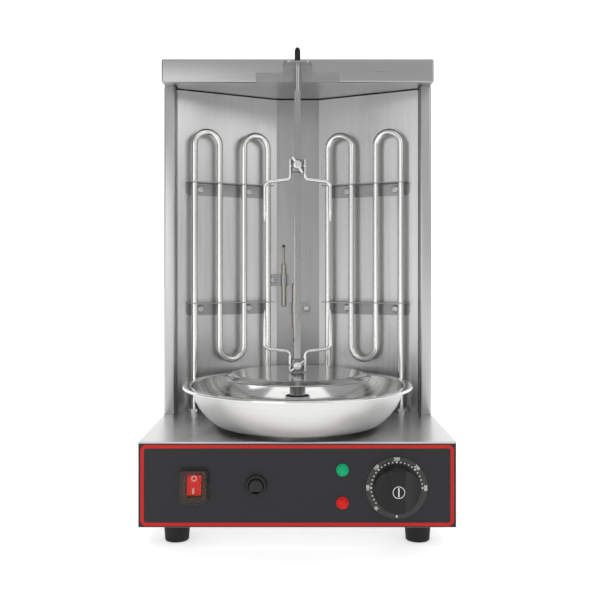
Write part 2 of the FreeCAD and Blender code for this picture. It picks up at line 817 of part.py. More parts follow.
# ---- tower ----------------------------------------------------------------------------------
def make_side_wall():
    """Right wall: rear flange, outer skin, front post and the post's return."""
    rear = base_depth - sheet
    path = [(half_width - rear_flange_width, rear), (half_width, rear),
            (half_width, tower_front), (post_inside, tower_front),
            (post_inside, tower_front + post_return)]
    wall = folded(path, sheet, deck, roof_bottom)
    wall = rounded(wall, 1.6, lambda m, d: abs(d.z) > 0.9 and m.y < tower_front + 0.1)
    holes = [rod(screw_radius, 4 * sheet, V(x, rear - 3 * sheet, z), BACK)
             for x, z in cover_screw_places() if x > 0]
    return wall.cut(group(holes))


def cover_screw_places():
    x = half_width - rear_flange_width / 2
    levels = [deck + tower_height * part for part in (0.06, 0.5, 0.94)]
    return [(sx * x, z) for sx in (-1, 1) for z in levels]


def make_back_cover():
    plate = box(-half_width, half_width, base_depth - sheet, base_depth, deck, roof_bottom)
    holes = [rod(screw_radius + screw_clearance, 3 * sheet, V(x, base_depth - 2 * sheet, z), BACK)
             for x, z in cover_screw_places()]
    return plate.cut(group(holes))


def make_cover_screws():
    return group([pan_screw(V(x, base_depth, z), BACK, 6.0) for x, z in cover_screw_places()])


def strip_screw_stations():
    """Distances along the reflector of each strip's two screws."""
    return [heater_edge_gap + strip_screw_offset,
            heater_edge_gap + 2 * heater_pitch + strip_screw_offset]


def strip_screw_levels():
    return [deck + top - strip_height / 2 for top in (upper_strip_top, lower_strip_top)]


def make_side_reflector():
    """Flat sheet with flanges turned back at the deck and under the roof."""
    t = reflector_sheet
    face = box(0, reflector_length, -t, 0, deck, roof_bottom)
    inset = 6.0
    flanges = [box(inset, reflector_length - inset, -reflector_flange, 0, z, z + t)
               for z in (deck, roof_bottom - t)]
    holes = [rod(screw_radius + screw_clearance, 3 * t, V(s, -2 * t, z), BACK)
             for s in strip_screw_stations() for z in strip_screw_levels()]
    return on_reflector(join([face] + flanges).cut(group(holes)))


def make_left_reflector(right):
    """Mirror of the right one, with one more hole for the upper bulb clip's screw."""
    place, forward, along = side_clip_screw()
    return mirrored(right).cut(rod(screw_radius + screw_clearance, 12.0,
                                   place - forward * 6.0, forward))


def bulb_y():
    return centre_face - bulb_radius - 0.4


def upper_clip_level():
    return deck + upper_clip_height


def side_clip_screw():
    """Place and forward direction of the upper clip's screw, on the left side reflector."""
    along = V(-reflector_run, -reflector_depth, 0).normalize()
    forward = V(-along.y, along.x, 0)
    fold = V(-half_centre, centre_face, upper_clip_level())
    return fold + along * clip_screw_from_fold, forward, along


def make_centre_reflector():
    t = reflector_sheet
    plate = box(-half_centre, half_centre, centre_face, centre_face + t, deck, roof_bottom)
    holes = [rod(capillary_radius + 1.0, 3 * t, V(bulb_x, centre_face - t, deck + bulb_exit), BACK),
             rod(capillary_radius + 1.0, 3 * t,
                 V(limit_bulb_x, centre_face - t, deck + limit_exit), BACK)]
    holes.append(rod(screw_radius + screw_clearance, 3 * t,
                     V(lower_clip_screw_x, centre_face - t, deck + lower_clip_height), BACK))
    return plate.cut(group(holes))


def make_roof_cover():
    outer = box(-half_width, half_width, roof_front, base_depth, roof_bottom, roof_top)
    outer = rounded(outer, bend_radius, lambda m, d: abs(d.z) > 0.9 or m.z > roof_bottom + 1
                    or m.y < roof_front + 0.1)
    inner = box(-half_width + sheet, half_width - sheet, roof_front + sheet, base_depth - sheet,
                roof_bottom + sheet, roof_top - sheet)
    opening = box(-half_width + roof_flange_width, half_width - roof_flange_width,
                  roof_front + roof_flange_width, base_depth - roof_flange_width,
                  roof_bottom, roof_bottom + sheet)
    return outer.cut(group([inner, opening]))


def make_ceiling_plate():
    gap = sheet + 0.3
    return box(-half_width + gap, half_width - gap, roof_front + gap, base_depth - gap,
               roof_bottom + sheet, roof_bottom + 2 * sheet)


def make_top_bracket():
    """Flange on the roof's front face, bent forward into the tongue that holds the spit."""
    t = bracket_thickness
    top = roof_bottom + bracket_flange_height
    half = bracket_flange_width / 2
    flange = box(-half, half, roof_front - t, roof_front, roof_bottom, top)
    nose = spit_y - tongue_past_spit
    tongue = tongue_with_round_nose(nose, top - t, top)
    hole = rod(spit_journal_radius + journal_clearance, 3 * t, V(0, spit_y, top - 2 * t))
    return join([flange, tongue]).cut(hole)


def tongue_with_round_nose(nose, z0, z1):
    radius = tongue_corner_radius
    half = tongue_width / 2
    pieces = [box(-half, half, nose + radius, roof_front, z0, z1),
              box(-half + radius, half - radius, nose, nose + radius, z0, z1)]
    pieces += [rod(radius, z1 - z0, V(side * (half - radius), nose + radius, z0))
               for side in (-1, 1)]
    return join(pieces)


# ---- heaters --------------------------------------------------------------------------------
def make_heater():
    """Right heater: four upright legs joined by half-round bends, tails through the deck."""
    half_pitch = heater_pitch / 2
    high = deck + heater_top - heater_tube_radius - half_pitch
    low = deck + heater_bottom + heater_tube_radius + half_pitch
    tail = deck - heater_tail
    stations = [heater_edge_gap + i * heater_pitch for i in range(4)]

    def at(station, z):
        return V(station, heater_standoff, z)

    ends = [tail, high, low, high, tail]
    edges = []
    for i, station in enumerate(stations):
        edges.append(Part.makeLine(at(station, ends[i]), at(station, ends[i + 1])))
        if i < 3:
            going_up = ends[i + 1] > ends[i]
            crown = ends[i + 1] + (half_pitch if going_up else -half_pitch)
            bend = Part.Arc(at(station, ends[i + 1]), at(station + half_pitch, crown),
                            at(stations[i + 1], ends[i + 1]))
            edges.append(bend.toShape())
    return on_reflector(swept(edges, heater_tube_radius))


def both_sides(shape):
    return [shape, mirrored(shape)]


def make_heater_fittings():
    """Washer and hexagon nut above the deck, lock nut below, on each outer leg."""
    pieces = []
    bore = heater_tube_radius + seat_clearance
    for number in (0, 3):
        place = leg_place(number)
        washer = tube(fitting_washer_radius, bore, 1.0, V(place.x, place.y, deck))
        upper = nut(V(place.x, place.y, deck + 1.0), UP, fitting_nut_radius, 4.0, bore)
        lower = nut(V(place.x, place.y, deck_under - 4.0), UP, fitting_nut_radius, 4.0, bore)
        for piece in (washer, upper, lower):
            pieces += both_sides(piece)
    return group(pieces)


def make_heater_terminals():
    """Ceramic bead and threaded stud at each tube end."""
    pieces = []
    for number in (0, 3):
        place = leg_place(number)
        end = deck - heater_tail
        terminal = join([rod(heater_tube_radius - 0.6, 6.0, V(place.x, place.y, end - 6.0)),
                         rod(1.5, 12.0, V(place.x, place.y, end - 18.0))])
        pieces += both_sides(terminal)
    return group(pieces)


def make_strip(top_above_deck):
    """Angle strip on the right reflector: face against the sheet, flange pierced by the tubes."""
    t = strip_thickness
    top = deck + top_above_deck
    s0 = strip_end_gap
    s1 = reflector_length - strip_end_gap
    round_end = 5.0
    face = box(s0, s1, 0, t, top - strip_height, top)
    face = rounded(face, round_end, lambda m, d: abs(d.y) > 0.9 and m.z < top - 1)
    flange = box(s0, s1, 0, strip_flange_depth, top - t, top)
    flange = rounded_in_plan(flange, round_end, strip_flange_depth)
    holes = [rod(heater_tube_radius + strip_hole_clearance, 3 * t,
                 V(heater_edge_gap + i * heater_pitch, heater_standoff, top - 2 * t))
             for i in range(4)]
    holes += [rod(screw_radius + screw_clearance, 3 * t, V(s, -t, top - strip_height / 2), BACK)
              for s in strip_screw_stations()]
    return on_reflector(join([face, flange]).cut(group(holes)))


def rounded_in_plan(block, radius, front):
    edges = [e for e in block.Edges if abs(e.CenterOfMass.y - front) < 0.01
             and abs(e.tangentAt(e.FirstParameter).z) > 0.9]
    return block.makeFillet(radius, edges)


def make_reflector_screws():
    """Screws of the strips, with nuts behind the sheet, and of the two bulb clips."""
    pieces = []
    for s in strip_screw_stations():
        for z in strip_screw_levels():
            screw = on_reflector(pan_screw(V(s, strip_thickness, z), BACK, 7.0))
            backing = on_reflector(nut(V(s, -reflector_sheet, z), FRONT))
            pieces += both_sides(screw) + both_sides(backing)
    place, forward, along = side_clip_screw()
    pieces.append(pan_screw(place + forward * clip_thickness, forward, 6.0, head=4.0))
    place = V(lower_clip_screw_x, centre_face - clip_thickness, deck + lower_clip_height)
    pieces.append(pan_screw(place, FRONT, 6.0, head=4.0))
    return group(pieces)


# ---- sensors --------------------------------------------------------------------------------
def saddle(x):
    """Plan points of a clip's inside where it passes over the bulb at x."""
    wrap = bulb_radius + 0.2
    front = bulb_y() - wrap
    return [(x - wrap, centre_face), (x - wrap, front), (x + wrap, front),
            (x + wrap, centre_face)]


def make_clip(path, level_z, screw_place, direction):
    strip = folded(path, clip_thickness, level_z - clip_height / 2, level_z + clip_height / 2)
    through = 6 * clip_thickness
    return strip.cut(rod(screw_radius + screw_clearance, through,
                         screw_place - direction * (through / 2), direction))


def make_bulb_clips():
    """The upper clip is screwed to the side reflector, the lower one to the centre reflector."""
    screw, forward, along = side_clip_screw()
    foot = screw + along * 5.0
    upper = make_clip([(foot.x, foot.y), (-half_centre, centre_face)] + saddle(bulb_x)
                      + [(bulb_x + 7.0, centre_face)], upper_clip_level(), screw, forward)
    screw = V(lower_clip_screw_x, centre_face, deck + lower_clip_height)
    lower = make_clip([(limit_bulb_x - 7.0, centre_face)] + saddle(limit_bulb_x)
                      + [(lower_clip_screw_x + 5.0, centre_face)], screw.z, screw, FRONT)
    return group([upper, lower])


def make_thermostat_bulb():
    """Bulb in front of the centre reflector and its capillary down to the thermostat."""
    y = bulb_y()
    behind = centre_face + capillary_behind
    run = deck_under - 12.0
    rear = wall_inside + thermostat_depth
    end = control_height(dial_drop)
    bulb = rod(bulb_radius, bulb_top - bulb_bottom, V(bulb_x, y, deck + bulb_bottom))
    bulb = bulb.makeFillet(1.4, [e for e in bulb.Edges if len(e.Vertexes) == 1])
    route = [(bulb_x, y, deck + bulb_top - 1), (bulb_x, y, deck + bulb_exit),
             (bulb_x, behind, deck + bulb_exit), (bulb_x, behind, run),
             (dial_x, rear + 50, run), (dial_x, rear + 50, end), (dial_x, rear, end)]
    return join([bulb, pipe(route, capillary_radius, 5.0)])


def make_limit_bulb():
    """Bulb behind the spit and its capillary down to the high-limit switch."""
    y = bulb_y()
    behind = centre_face + capillary_behind
    run = deck_under - 24.0
    rear = limit_switch_front() + 26.0
    end = control_height(reset_drop)
    aside = -motor_bracket_width / 2 - 35
    bulb = rod(bulb_radius, limit_bulb_top - limit_bulb_bottom,
               V(limit_bulb_x, y, deck + limit_bulb_bottom))
    bulb = bulb.makeFillet(1.4, [e for e in bulb.Edges if len(e.Vertexes) == 1])
    route = [(limit_bulb_x, y, deck + limit_bulb_bottom + 1), (limit_bulb_x, y, deck + limit_exit),
             (limit_bulb_x, behind, deck + limit_exit), (limit_bulb_x, behind, run),
             (aside, spit_y + 60, run), (aside, rear + 30, end), (reset_x, rear + 30, end),
             (reset_x, rear, end)]
    return join([bulb, pipe(route, capillary_radius, 5.0)])


def make_grommets():
    """Rubber rings in the deck round the two capillaries."""
    y = centre_face + capillary_behind
    rings = []
    for x in (bulb_x, limit_bulb_x):
        body = join([rod(grommet_radius, 4 * sheet, V(x, y, deck - 2.5 * sheet)),
                     rod(grommet_radius + 1.5, 1.2, V(x, y, deck))])
        rings.append(body.cut(rod(capillary_radius + 0.05, 12, V(x, y, deck - 6))))
    return group(rings)


# ---- inlet ----------------------------------------------------------------------------------
def make_cable_gland():
    z = plate_top + gland_height
    start = base_depth - sheet - 8.0
    thread = rod(gland_thread_radius, 8.0 + sheet, V(gland_x, start, z), BACK)
    flange = nut(V(gland_x, base_depth, z), BACK, gland_flange_radius, 4.0, 1.0)
    dome = rod(gland_flange_radius - 1.8, gland_dome_length - 4.0, V(gland_x, base_depth + 4, z),
               BACK)
    dome = dome.makeFillet(2.0, [e for e in dome.Edges if len(e.Vertexes) == 1
                                 and e.CenterOfMass.y > base_depth + 5])
    lock = nut(V(gland_x, base_depth - sheet - 4.0, z), BACK, gland_flange_radius, 4.0, 1.0)
    bore = rod(gland_bore_radius, 60, V(gland_x, start - 5, z), BACK)
    return join([thread, flange, dome, lock]).cut(bore)


def make_terminal_block():
    x = gland_x - 8
    y = base_depth - 70
    block = box(x - 24, x + 24, y - 9, y + 9, plate_top, plate_top + 16)
    wells = [rod(2.6, 10, V(x + dx, y + dy, plate_top + 8)) for dx in (-15, 0, 15)
             for dy in (-5, 5)]
    return block.cut(group(wells))


# ---- spit and forks -------------------------------------------------------------------------
def make_spit():
    """Square bar with a round journal on top that ends in a point."""
    bottom = deck + socket_floor
    top = deck + spit_square_top
    tip = deck + spit_tip
    bar = square_bar(spit_side, bottom, top, 0, spit_y)
    journal = rod(spit_journal_radius, tip - spit_point - top, V(0, spit_y, top))
    point = Part.makeCone(spit_journal_radius, spit_end_radius, spit_point, V(0, spit_y, tip - spit_point))
    return join([bar, journal, point])


def clamp_half_width():
    return spit_side / 2 + clamp_wall


def make_clamp(bottom_above_deck):
    """Block that slides on the spit, threaded from the front for its clamp screw."""
    z = deck + bottom_above_deck
    half = clamp_half_width()
    block = box(-half, half, spit_y - clamp_depth / 2, spit_y + clamp_depth / 2, z,
                z + clamp_height)
    hole = square_bar(spit_side + 2 * sliding_clearance, z, z + clamp_height, 0, spit_y)
    thread = rod(clamp_screw_radius + running_clearance, clamp_depth / 2,
                 V(0, spit_y - clamp_depth / 2, z + clamp_height / 2), BACK)
    return block.cut(group([hole, thread]))


def make_prongs(weld_end, arm, tip):
    """Pair of bent wires: up the side of the block, out along the arm, and on to the point."""
    x0 = clamp_half_width() + fork_wire_radius
    toward = 1 if tip > arm else -1
    straight_end = deck + tip - toward * prong_point
    inner = deck + arm - toward * fork_arm_rise / 2
    outer = deck + arm + toward * fork_arm_rise / 2
    path = [(x0, spit_y, deck + weld_end), (x0, spit_y, inner),
            (fork_reach, spit_y, outer), (fork_reach, spit_y, straight_end)]
    wire = pipe(path, fork_wire_radius, fork_bend)
    point = Part.makeCone(fork_wire_radius, 0.4, prong_point, V(fork_reach, spit_y, straight_end),
                          V(0, 0, toward))
    return group(both_sides(join([wire, point])))


def make_clamp_screw(bottom_above_deck, angle):
    """Thumb screw with a cross bar through its head. Its tip stops just short of the spit."""
    z = deck + bottom_above_deck + clamp_height / 2
    tip = spit_y - spit_side / 2 - 0.3
    face = spit_y - clamp_depth / 2
    head_back = face - clamp_head_gap
    stem = rod(clamp_screw_radius, tip - head_back, V(0, head_back, z), BACK)
    head = rod(clamp_head_radius, clamp_head_length, V(0, head_back - clamp_head_length, z), BACK)
    head = head.makeFillet(1.2, [e for e in head.Edges if len(e.Vertexes) == 1
                                 and e.CenterOfMass.y < head_back - 1])
    along = V(math.cos(math.radians(angle)), 0, math.sin(math.radians(angle)))
    middle = V(0, head_back - clamp_head_length / 2, z)
    bar = rod(clamp_bar_radius, clamp_bar_length, middle - along * (clamp_bar_length / 2), along)
    bar = bar.makeFillet(0.7, [e for e in bar.Edges if len(e.Vertexes) == 1])
    return join([stem, head, bar])


# ---- wiring ---------------------------------------------------------------------------------
def make_wiring():
    """Insulated leads along the base's side, each ending at a terminal's face."""
    radius = 1.2
    switch_z = control_height(switch_drop)
    rear = switch_body_depth + 8
    low = plate_top + 8
    block_y = base_depth - 70 - 9
    leads = []
    for i, (dx, dz) in enumerate(((-5, 7), (5, -7))):
        lane = -half_width + 22 + 6 * i
        leads.append([(switch_x + dx, rear, switch_z + dz), (switch_x + dx, rear + 14 + 6 * i,
                      switch_z + dz), (lane, rear + 40, low + 4 * i), (lane, block_y - 40, low + 4 * i),
                      (gland_x - 40, block_y - 30 + 6 * i, low + 4 * i),
                      (gland_x - 23 + 15 * i, block_y - 16, low),
                      (gland_x - 23 + 15 * i, block_y, low)])
    rear = wall_inside + thermostat_depth + 8
    z = control_height(dial_drop) - 12
    leads.append([(dial_x + 10, rear, z), (dial_x + 10, rear + 20, z),
                  (half_width - 24, rear + 60, low), (half_width - 24, block_y - 45, low),
                  (gland_x + 7, block_y - 14, low), (gland_x + 7, block_y, low)])
    return group([pipe(lead, radius, 5.0) for lead in leads])


# ---- export ---------------------------------------------------------------------------------
def export(pieces):
    os.makedirs("parts", exist_ok=True)
    for name, shape in pieces.items():
        placed = shape.copy()
        placed.translate(V(0, -middle_y, 0))
        if not placed.isValid():
            raise ValueError(name + " is not a valid solid")
        placed.exportStep("parts/" + name + ".step")


def make_all():
    wall = make_side_wall()
    reflector = make_side_reflector()
    heater = make_heater()
    upper_strip = make_strip(upper_strip_top)
    lower_strip = make_strip(lower_strip_top)
    return {
        "base_housing": make_base_housing(),
        "base_sides": group(both_sides(make_base_side())),
        "bottom_plate": make_bottom_plate(),
        "bottom_plate_screws": make_bottom_plate_screws(),
        "rubber_feet": make_rubber_feet(),
        "foot_screws": make_foot_screws(),
        "front_panel": make_front_panel(),
        "switch_housing": make_switch_housing(),
        "rocker_button": make_rocker(),
        "switch_cover": make_switch_cover(),
        "green_lamp": make_lens(green_lamp_drop),
        "red_lamp": make_lens(red_lamp_drop),
        "lamp_bodies": make_lamp_bodies(),
        "reset_collar": make_reset_collar(),
        "reset_button": make_reset_button(),
        "high_limit_switch": make_high_limit_switch(),
        "dial_ring": make_dial_ring(),
        "control_knob": make_control_knob(),
        "thermostat_shaft": make_thermostat_shaft(),
        "thermostat_body": make_thermostat_body(),
        "motor_bracket": make_motor_bracket(),
        "motor_screws": make_motor_screws(),
        "gear_motor": make_gear_motor(),
        "motor_shaft": make_motor_shaft(),
        "drive_shaft": make_drive_shaft(),
        "drive_bush": make_drive_bush(),
        "turntable": make_turntable(),
        "pan_support_ring": make_pan_support_ring(),
        "drip_pan": make_drip_pan(),
        "right_side_wall": wall,
        "left_side_wall": mirrored(wall),
        "back_cover": make_back_cover(),
        "cover_screws": make_cover_screws(),
        "right_reflector": reflector,
        "left_reflector": make_left_reflector(reflector),
        "centre_reflector": make_centre_reflector(),
        "roof_cover": make_roof_cover(),
        "ceiling_plate": make_ceiling_plate(),
        "top_bracket": make_top_bracket(),
        "right_heater": heater,
        "left_heater": mirrored(heater),
        "heater_fittings": make_heater_fittings(),
        "heater_terminals": make_heater_terminals(),
        "upper_strips": group(both_sides(upper_strip)),
        "lower_strips": group(both_sides(lower_strip)),
        "reflector_screws": make_reflector_screws(),
        "bulb_clips": make_bulb_clips(),
        "thermostat_bulb": make_thermostat_bulb(),
        "limit_bulb": make_limit_bulb(),
        "capillary_grommets": make_grommets(),
        "cable_gland": make_cable_gland(),
        "terminal_block": make_terminal_block(),
        "wiring": make_wiring(),
        "spit": make_spit(),
        "upper_clamp": make_clamp(upper_clamp_bottom),
        "upper_prongs": make_prongs(upper_clamp_bottom + clamp_height, upper_arm_height,
                                    upper_prong_tip),
        "upper_clamp_screw": make_clamp_screw(upper_clamp_bottom, upper_bar_angle),
        "lower_clamp": make_clamp(lower_clamp_bottom),
        "lower_prongs": make_prongs(lower_clamp_bottom, lower_arm_height, lower_prong_tip),
        "lower_clamp_screw": make_clamp_screw(lower_clamp_bottom, lower_bar_angle),
    }


export(make_all())
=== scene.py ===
"""Looks of a small vertical electric rotisserie grill.

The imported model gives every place. Each operator makes one piece, or one group of like pieces,
as surfaces worked out with numpy, and the last one sets the floor, lights and camera.
Everything is in metres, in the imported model's frame: x right, y back, z up from the worktop.
"""

import math

import bmesh
import bpy
import numpy as np
from bpy.props import FloatProperty, FloatVectorProperty, PointerProperty
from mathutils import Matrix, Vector
from mathutils.geometry import tessellate_polygon


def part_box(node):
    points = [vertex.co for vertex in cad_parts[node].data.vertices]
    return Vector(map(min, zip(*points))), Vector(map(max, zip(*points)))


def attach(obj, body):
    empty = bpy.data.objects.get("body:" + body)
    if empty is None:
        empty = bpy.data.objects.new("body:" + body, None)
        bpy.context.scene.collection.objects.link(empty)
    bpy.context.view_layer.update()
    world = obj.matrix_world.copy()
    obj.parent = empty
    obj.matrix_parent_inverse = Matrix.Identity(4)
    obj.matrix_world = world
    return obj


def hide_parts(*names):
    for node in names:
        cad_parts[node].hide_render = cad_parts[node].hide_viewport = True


bl_info = {
    "name": "Rotisserie Grill Looks",
    "version": (1, 0, 0),
    "blender": (4, 5, 0),
    "location": "3D View > Sidebar > Grill",
    "description": "Shapes, finishes and stage of a small vertical electric rotisserie grill",
    "category": "Object",
}

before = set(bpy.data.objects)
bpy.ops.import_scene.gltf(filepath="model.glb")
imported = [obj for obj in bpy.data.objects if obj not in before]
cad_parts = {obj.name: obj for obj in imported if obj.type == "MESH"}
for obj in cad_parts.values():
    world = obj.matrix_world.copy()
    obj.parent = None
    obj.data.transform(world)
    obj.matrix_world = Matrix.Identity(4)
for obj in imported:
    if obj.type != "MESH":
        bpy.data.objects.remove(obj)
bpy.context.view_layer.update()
MM = 0.001


def centre(node):
    """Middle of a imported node's box."""
    low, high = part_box(node)
    return (low + high) / 2


def on_panel(node):
    """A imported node's box, and the point on the panel's face at its middle."""
    low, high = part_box(node)
    middle = (low + high) / 2
    return low, high, (middle.x, PANEL_Y, middle.z)


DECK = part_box("base_housing")[1].z
PANEL_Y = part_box("front_panel")[0].y
ROOF_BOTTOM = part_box("roof_cover")[0].z
AXIS = centre("spit")
ON_AXIS = (AXIS.x, AXIS.y, 0.0)
SPIT_HOLE = 3.65 * MM  # half the width of the square holes that the spit goes through


# ---- colours --------------------------------------------------------------------------------
def linear(code):
    """Linear colour of an sRGB hex value: each channel through the inverse of the sRGB curve."""
    channels = np.array([int(code[i:i + 2], 16) for i in (1, 3, 5)]) / 255
    low = channels / 12.92
    high = ((channels + 0.055) / 1.055) ** 2.4
    return (*np.where(channels <= 0.04045, low, high).tolist(), 1.0)


def length_property(name, description, millimetres):
    return FloatProperty(name=name, description=description, default=millimetres * MM,
                         unit="LENGTH", subtype="DISTANCE", precision=5)


def colour_property(name, description, code):
    return FloatVectorProperty(name=name, description=description, size=4, min=0, max=1,
                               subtype="COLOR", default=linear(code))


class GrillSizes(bpy.types.PropertyGroup):
    """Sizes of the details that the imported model's boxes don't give."""
    sheet: length_property("Sheet", "Thickness of the stainless sheet", 1.2)
    sheet_bend: length_property("Sheet bend", "Outside radius of the bends in the sheets", 2.4)
    roof_flange: length_property("Roof flange", "Width of the flange under the roof", 12)
    post_width: length_property("Post width", "Width of the front posts", 13.5)
    post_return: length_property("Post return", "Depth of the posts' inner edges", 16)
    rear_flange: length_property("Rear flange", "Width of the walls' rear flanges", 14)
    border_width: length_property("Border width", "Outside width of the red line", 320)
    border_height: length_property("Border height", "Outside height of the red line", 82.8)
    border_line: length_property("Border line", "Width of the red line", 3.5)
    border_corner: length_property("Border corner", "Outside corner radius of the red line", 6)
    numeral_height: length_property("Numeral height", "Height of the dial's numbers", 3.7)
    dot_radius: length_property("Dot radius", "Radius of the dial's dots", 0.75)
    dot_circle: length_property("Dot circle", "Radius of the circle of dots", 26.2)
    knob_bar: length_property("Grip width", "Width of the knob's grip bar", 13.5)
    heater_tube: length_property("Heater tube", "Radius of the heater tube", 4)
    heater_bottom: length_property("Heater bottom", "Bottom bend above the deck", 59.5)
    heater_standoff: length_property("Heater standoff", "Tube centre before the reflector", 11.7)
    strip_depth: length_property("Strip depth", "Depth of the strips' flanges", 18.5)
    strip_corner: length_property("Strip corner", "Radius of the strips' ends", 5)
    pan_flange: length_property("Pan rim", "Width of the pan's flat rim", 9)
    pan_edge: length_property("Pan edge", "Height of the rim's turned-down edge", 3)
    pan_curve: length_property("Pan wall", "Radius of the pan wall's section", 62)
    pan_tube: length_property("Pan tube", "Inside radius of the pan's centre tube", 13)
    pan_tube_top: length_property("Pan tube top", "Top of the pan's tube above the deck", 34)
    disc_band: length_property("Turntable band", "Width of the sloping edge", 10.6)
    prong_wire: length_property("Prong wire", "Radius of the fork wire", 2)
    prong_bend: length_property("Prong bend", "Bend radius of the fork wire", 6)
    prong_point: length_property("Prong point", "Length of a prong's taper", 11)
    prong_length: length_property("Prong length", "From the arm to the prong's tip", 45.8)
    arm_rise: length_property("Arm slope", "Rise of an arm towards the tip", 3.5)


class GrillColours(bpy.types.PropertyGroup):
    """Colours of the finishes."""
    steel: colour_property("Steel", "Brushed stainless sheet", "#D2D2D2")
    wall: colour_property("Walls", "Brushed sheet of the walls and back", "#BCBCBC")
    # The roof's darker tone is painted shade: the same brushed sheet as the walls, darkened to
    # look as dim as the roof does under the lights
    roof: colour_property("Roof", "Brushed roof sheet, darkened as painted shade", "#A9A9A9")
    # The ceiling's dark tone is painted shade: the sheet under the roof is darkened where it sits
    # in shade
    ceiling: colour_property("Ceiling", "Sheet under the roof, darkened as painted shade", "#9C9C9C")
    reflector: colour_property("Reflector", "Rolled reflector sheet", "#CFCFCF")
    # The fold tone is painted shade: the same reflector sheet, darkened in the recess between the
    # side reflectors
    fold: colour_property("Fold", "Sheet between the reflectors, darkened as painted shade", "#A8A8A8")
    strip: colour_property("Strip", "Heater support strips", "#A0A0A0")
    polished: colour_property("Polished steel", "Drip pan and bracket", "#E2E2E1")
    heater: colour_property("Heater sheath", "Annealed alloy tube", "#E3E2E0")
    bar: colour_property("Bar steel", "Spit and shafts", "#ACACAB")
    wire: colour_property("Bright wire", "Prongs and clamp screws", "#DEDEDD")
    clamp: colour_property("Clamp", "Clamp blocks", "#8C8C8C")
    disc: colour_property("Turntable", "Turntable's dark polish", "#CACAC9")
    panel: colour_property("Panel", "Charcoal control panel", "#29282C")
    border: colour_property("Border", "Red line on the panel", "#BE1F1A")
    plastic: colour_property("Plastic", "Black moulded plastic", "#1E1E1F")
    rocker: colour_property("Rocker", "Red rocker", "#D00A06")
    green: colour_property("Green lens", "Green lamp lens", "#029E68")
    red: colour_property("Red lens", "Red lamp lens", "#C31812")
    print_white: colour_property("White print", "Numbers and dots", "#E6E6E2")
    floor: colour_property("Floor", "Floor and backdrop", "#FFFFFF")


class GrillStage(bpy.types.PropertyGroup):
    """Camera and light."""
    camera: FloatVectorProperty(name="Camera", description="Place of the camera", size=3,
                                default=(0.003, -0.974, 0.2844), unit="LENGTH",
                                subtype="TRANSLATION")
    lens: FloatProperty(name="Lens", description="Focal length on a 36 mm sensor",
                        default=49.9, unit="CAMERA")
    shift_x: FloatProperty(name="Shift X", description="Sideways shift of the lens",
                           default=-0.007)
    shift_y: FloatProperty(name="Shift Y", description="Upward shift of the lens",
                           default=-0.044)
    soft_light: FloatProperty(name="Soft light", description="Strength of the white surround",
                              default=0.38, min=0)
    front_light: FloatProperty(name="Front light", description="Strength of the tent in front",
                               default=0.66, min=0)
    panel_light: FloatProperty(name="Panel light", description="Power of the big light panels",
                               default=5.0, min=0, unit="POWER")
    floor_glow: FloatProperty(name="Floor glow", description="Light from within the floor",
                              default=0.45, min=0)


def sizes():
    return bpy.context.scene.grill_sizes


def colours():
    return bpy.context.scene.grill_colours


# ---- surfaces -------------------------------------------------------------------------------
def grid(points, close_rows=False, close_columns=False, cap_rows=False):
    """Faces between the neighbours of a (rows, columns, 3) array of points.

    Closing joins the last row or column to the first. Caps fill the first and last rows.
    """
    rows, columns = points.shape[:2]
    row = np.arange(rows if close_rows else rows - 1)[:, None]
    column = np.arange(columns if close_columns else columns - 1)[None, :]
    beside = (column + 1) % columns
    above = (row + 1) % rows
    corners = [row * columns + column, row * columns + beside,
               above * columns + beside, above * columns + column]
    faces = np.stack(corners, -1).reshape(-1, 4).tolist()
    if cap_rows:
        faces.append(list(range(columns))[::-1])
        faces.append(list(range((rows - 1) * columns, rows * columns)))
    return points.reshape(-1, 3), faces


def turned(profile, place=(0, 0, 0), closed=True, segments=128):
    """Profile of (radius, height) points turned round the upright line through a place.

    A closed profile is a ring's section. An open one starts and ends on the line itself.
    """
    profile = np.asarray(profile, float)
    angle = np.linspace(0, 2 * math.pi, segments, endpoint=False)[None, :]
    radius = profile[:, :1]
    points = np.stack([radius * np.cos(angle), radius * np.sin(angle),
                       np.broadcast_to(profile[:, 1:], (len(profile), segments))], -1)
    return grid(points + np.array(place, float), close_rows=closed, close_columns=True)


def round_corners(corners, radii, steps=6, closed=False):
    """Path whose corners become arcs touching both runs.

    A corner's arc has its centre on the corner's bisector, and its points turn evenly from one
    touching point to the other. A radius of nought keeps the corner.
    """
    corners = np.asarray(corners, float)
    count = len(corners)
    radii = np.broadcast_to(radii, count)
    pieces = []
    for i in range(count):
        if not closed and i in (0, count - 1) or radii[i] <= 0:
            pieces.append(corners[i:i + 1])
            continue
        come = corners[i] - corners[i - 1]
        leave = corners[(i + 1) % count] - corners[i]
        come = come / np.linalg.norm(come)
        leave = leave / np.linalg.norm(leave)
        turn = math.acos(float(np.clip(come @ leave, -1, 1)))
        reach = radii[i] * math.tan(turn / 2)
        inward = (leave - come) / np.linalg.norm(leave - come)
        middle = corners[i] + inward * (radii[i] / math.cos(turn / 2))
        first = corners[i] - come * reach - middle
        last = corners[i] + leave * reach - middle
        part = np.linspace(0, 1, steps + 1)[:, None]
        arc = (np.sin((1 - part) * turn) * first + np.sin(part * turn) * last) / math.sin(turn)
        pieces.append(middle + arc)
    return np.vstack(pieces)


def rounded_rectangle(width, height, radius, steps=6):
    """Outline of a rectangle about the origin with arcs for corners, the same count always."""
    half = np.array([width, height]) / 2
    corners = np.array([(1, -1), (1, 1), (-1, 1), (-1, -1)]) * half
    return round_corners(corners, max(radius, 0.01 * MM), steps, closed=True)


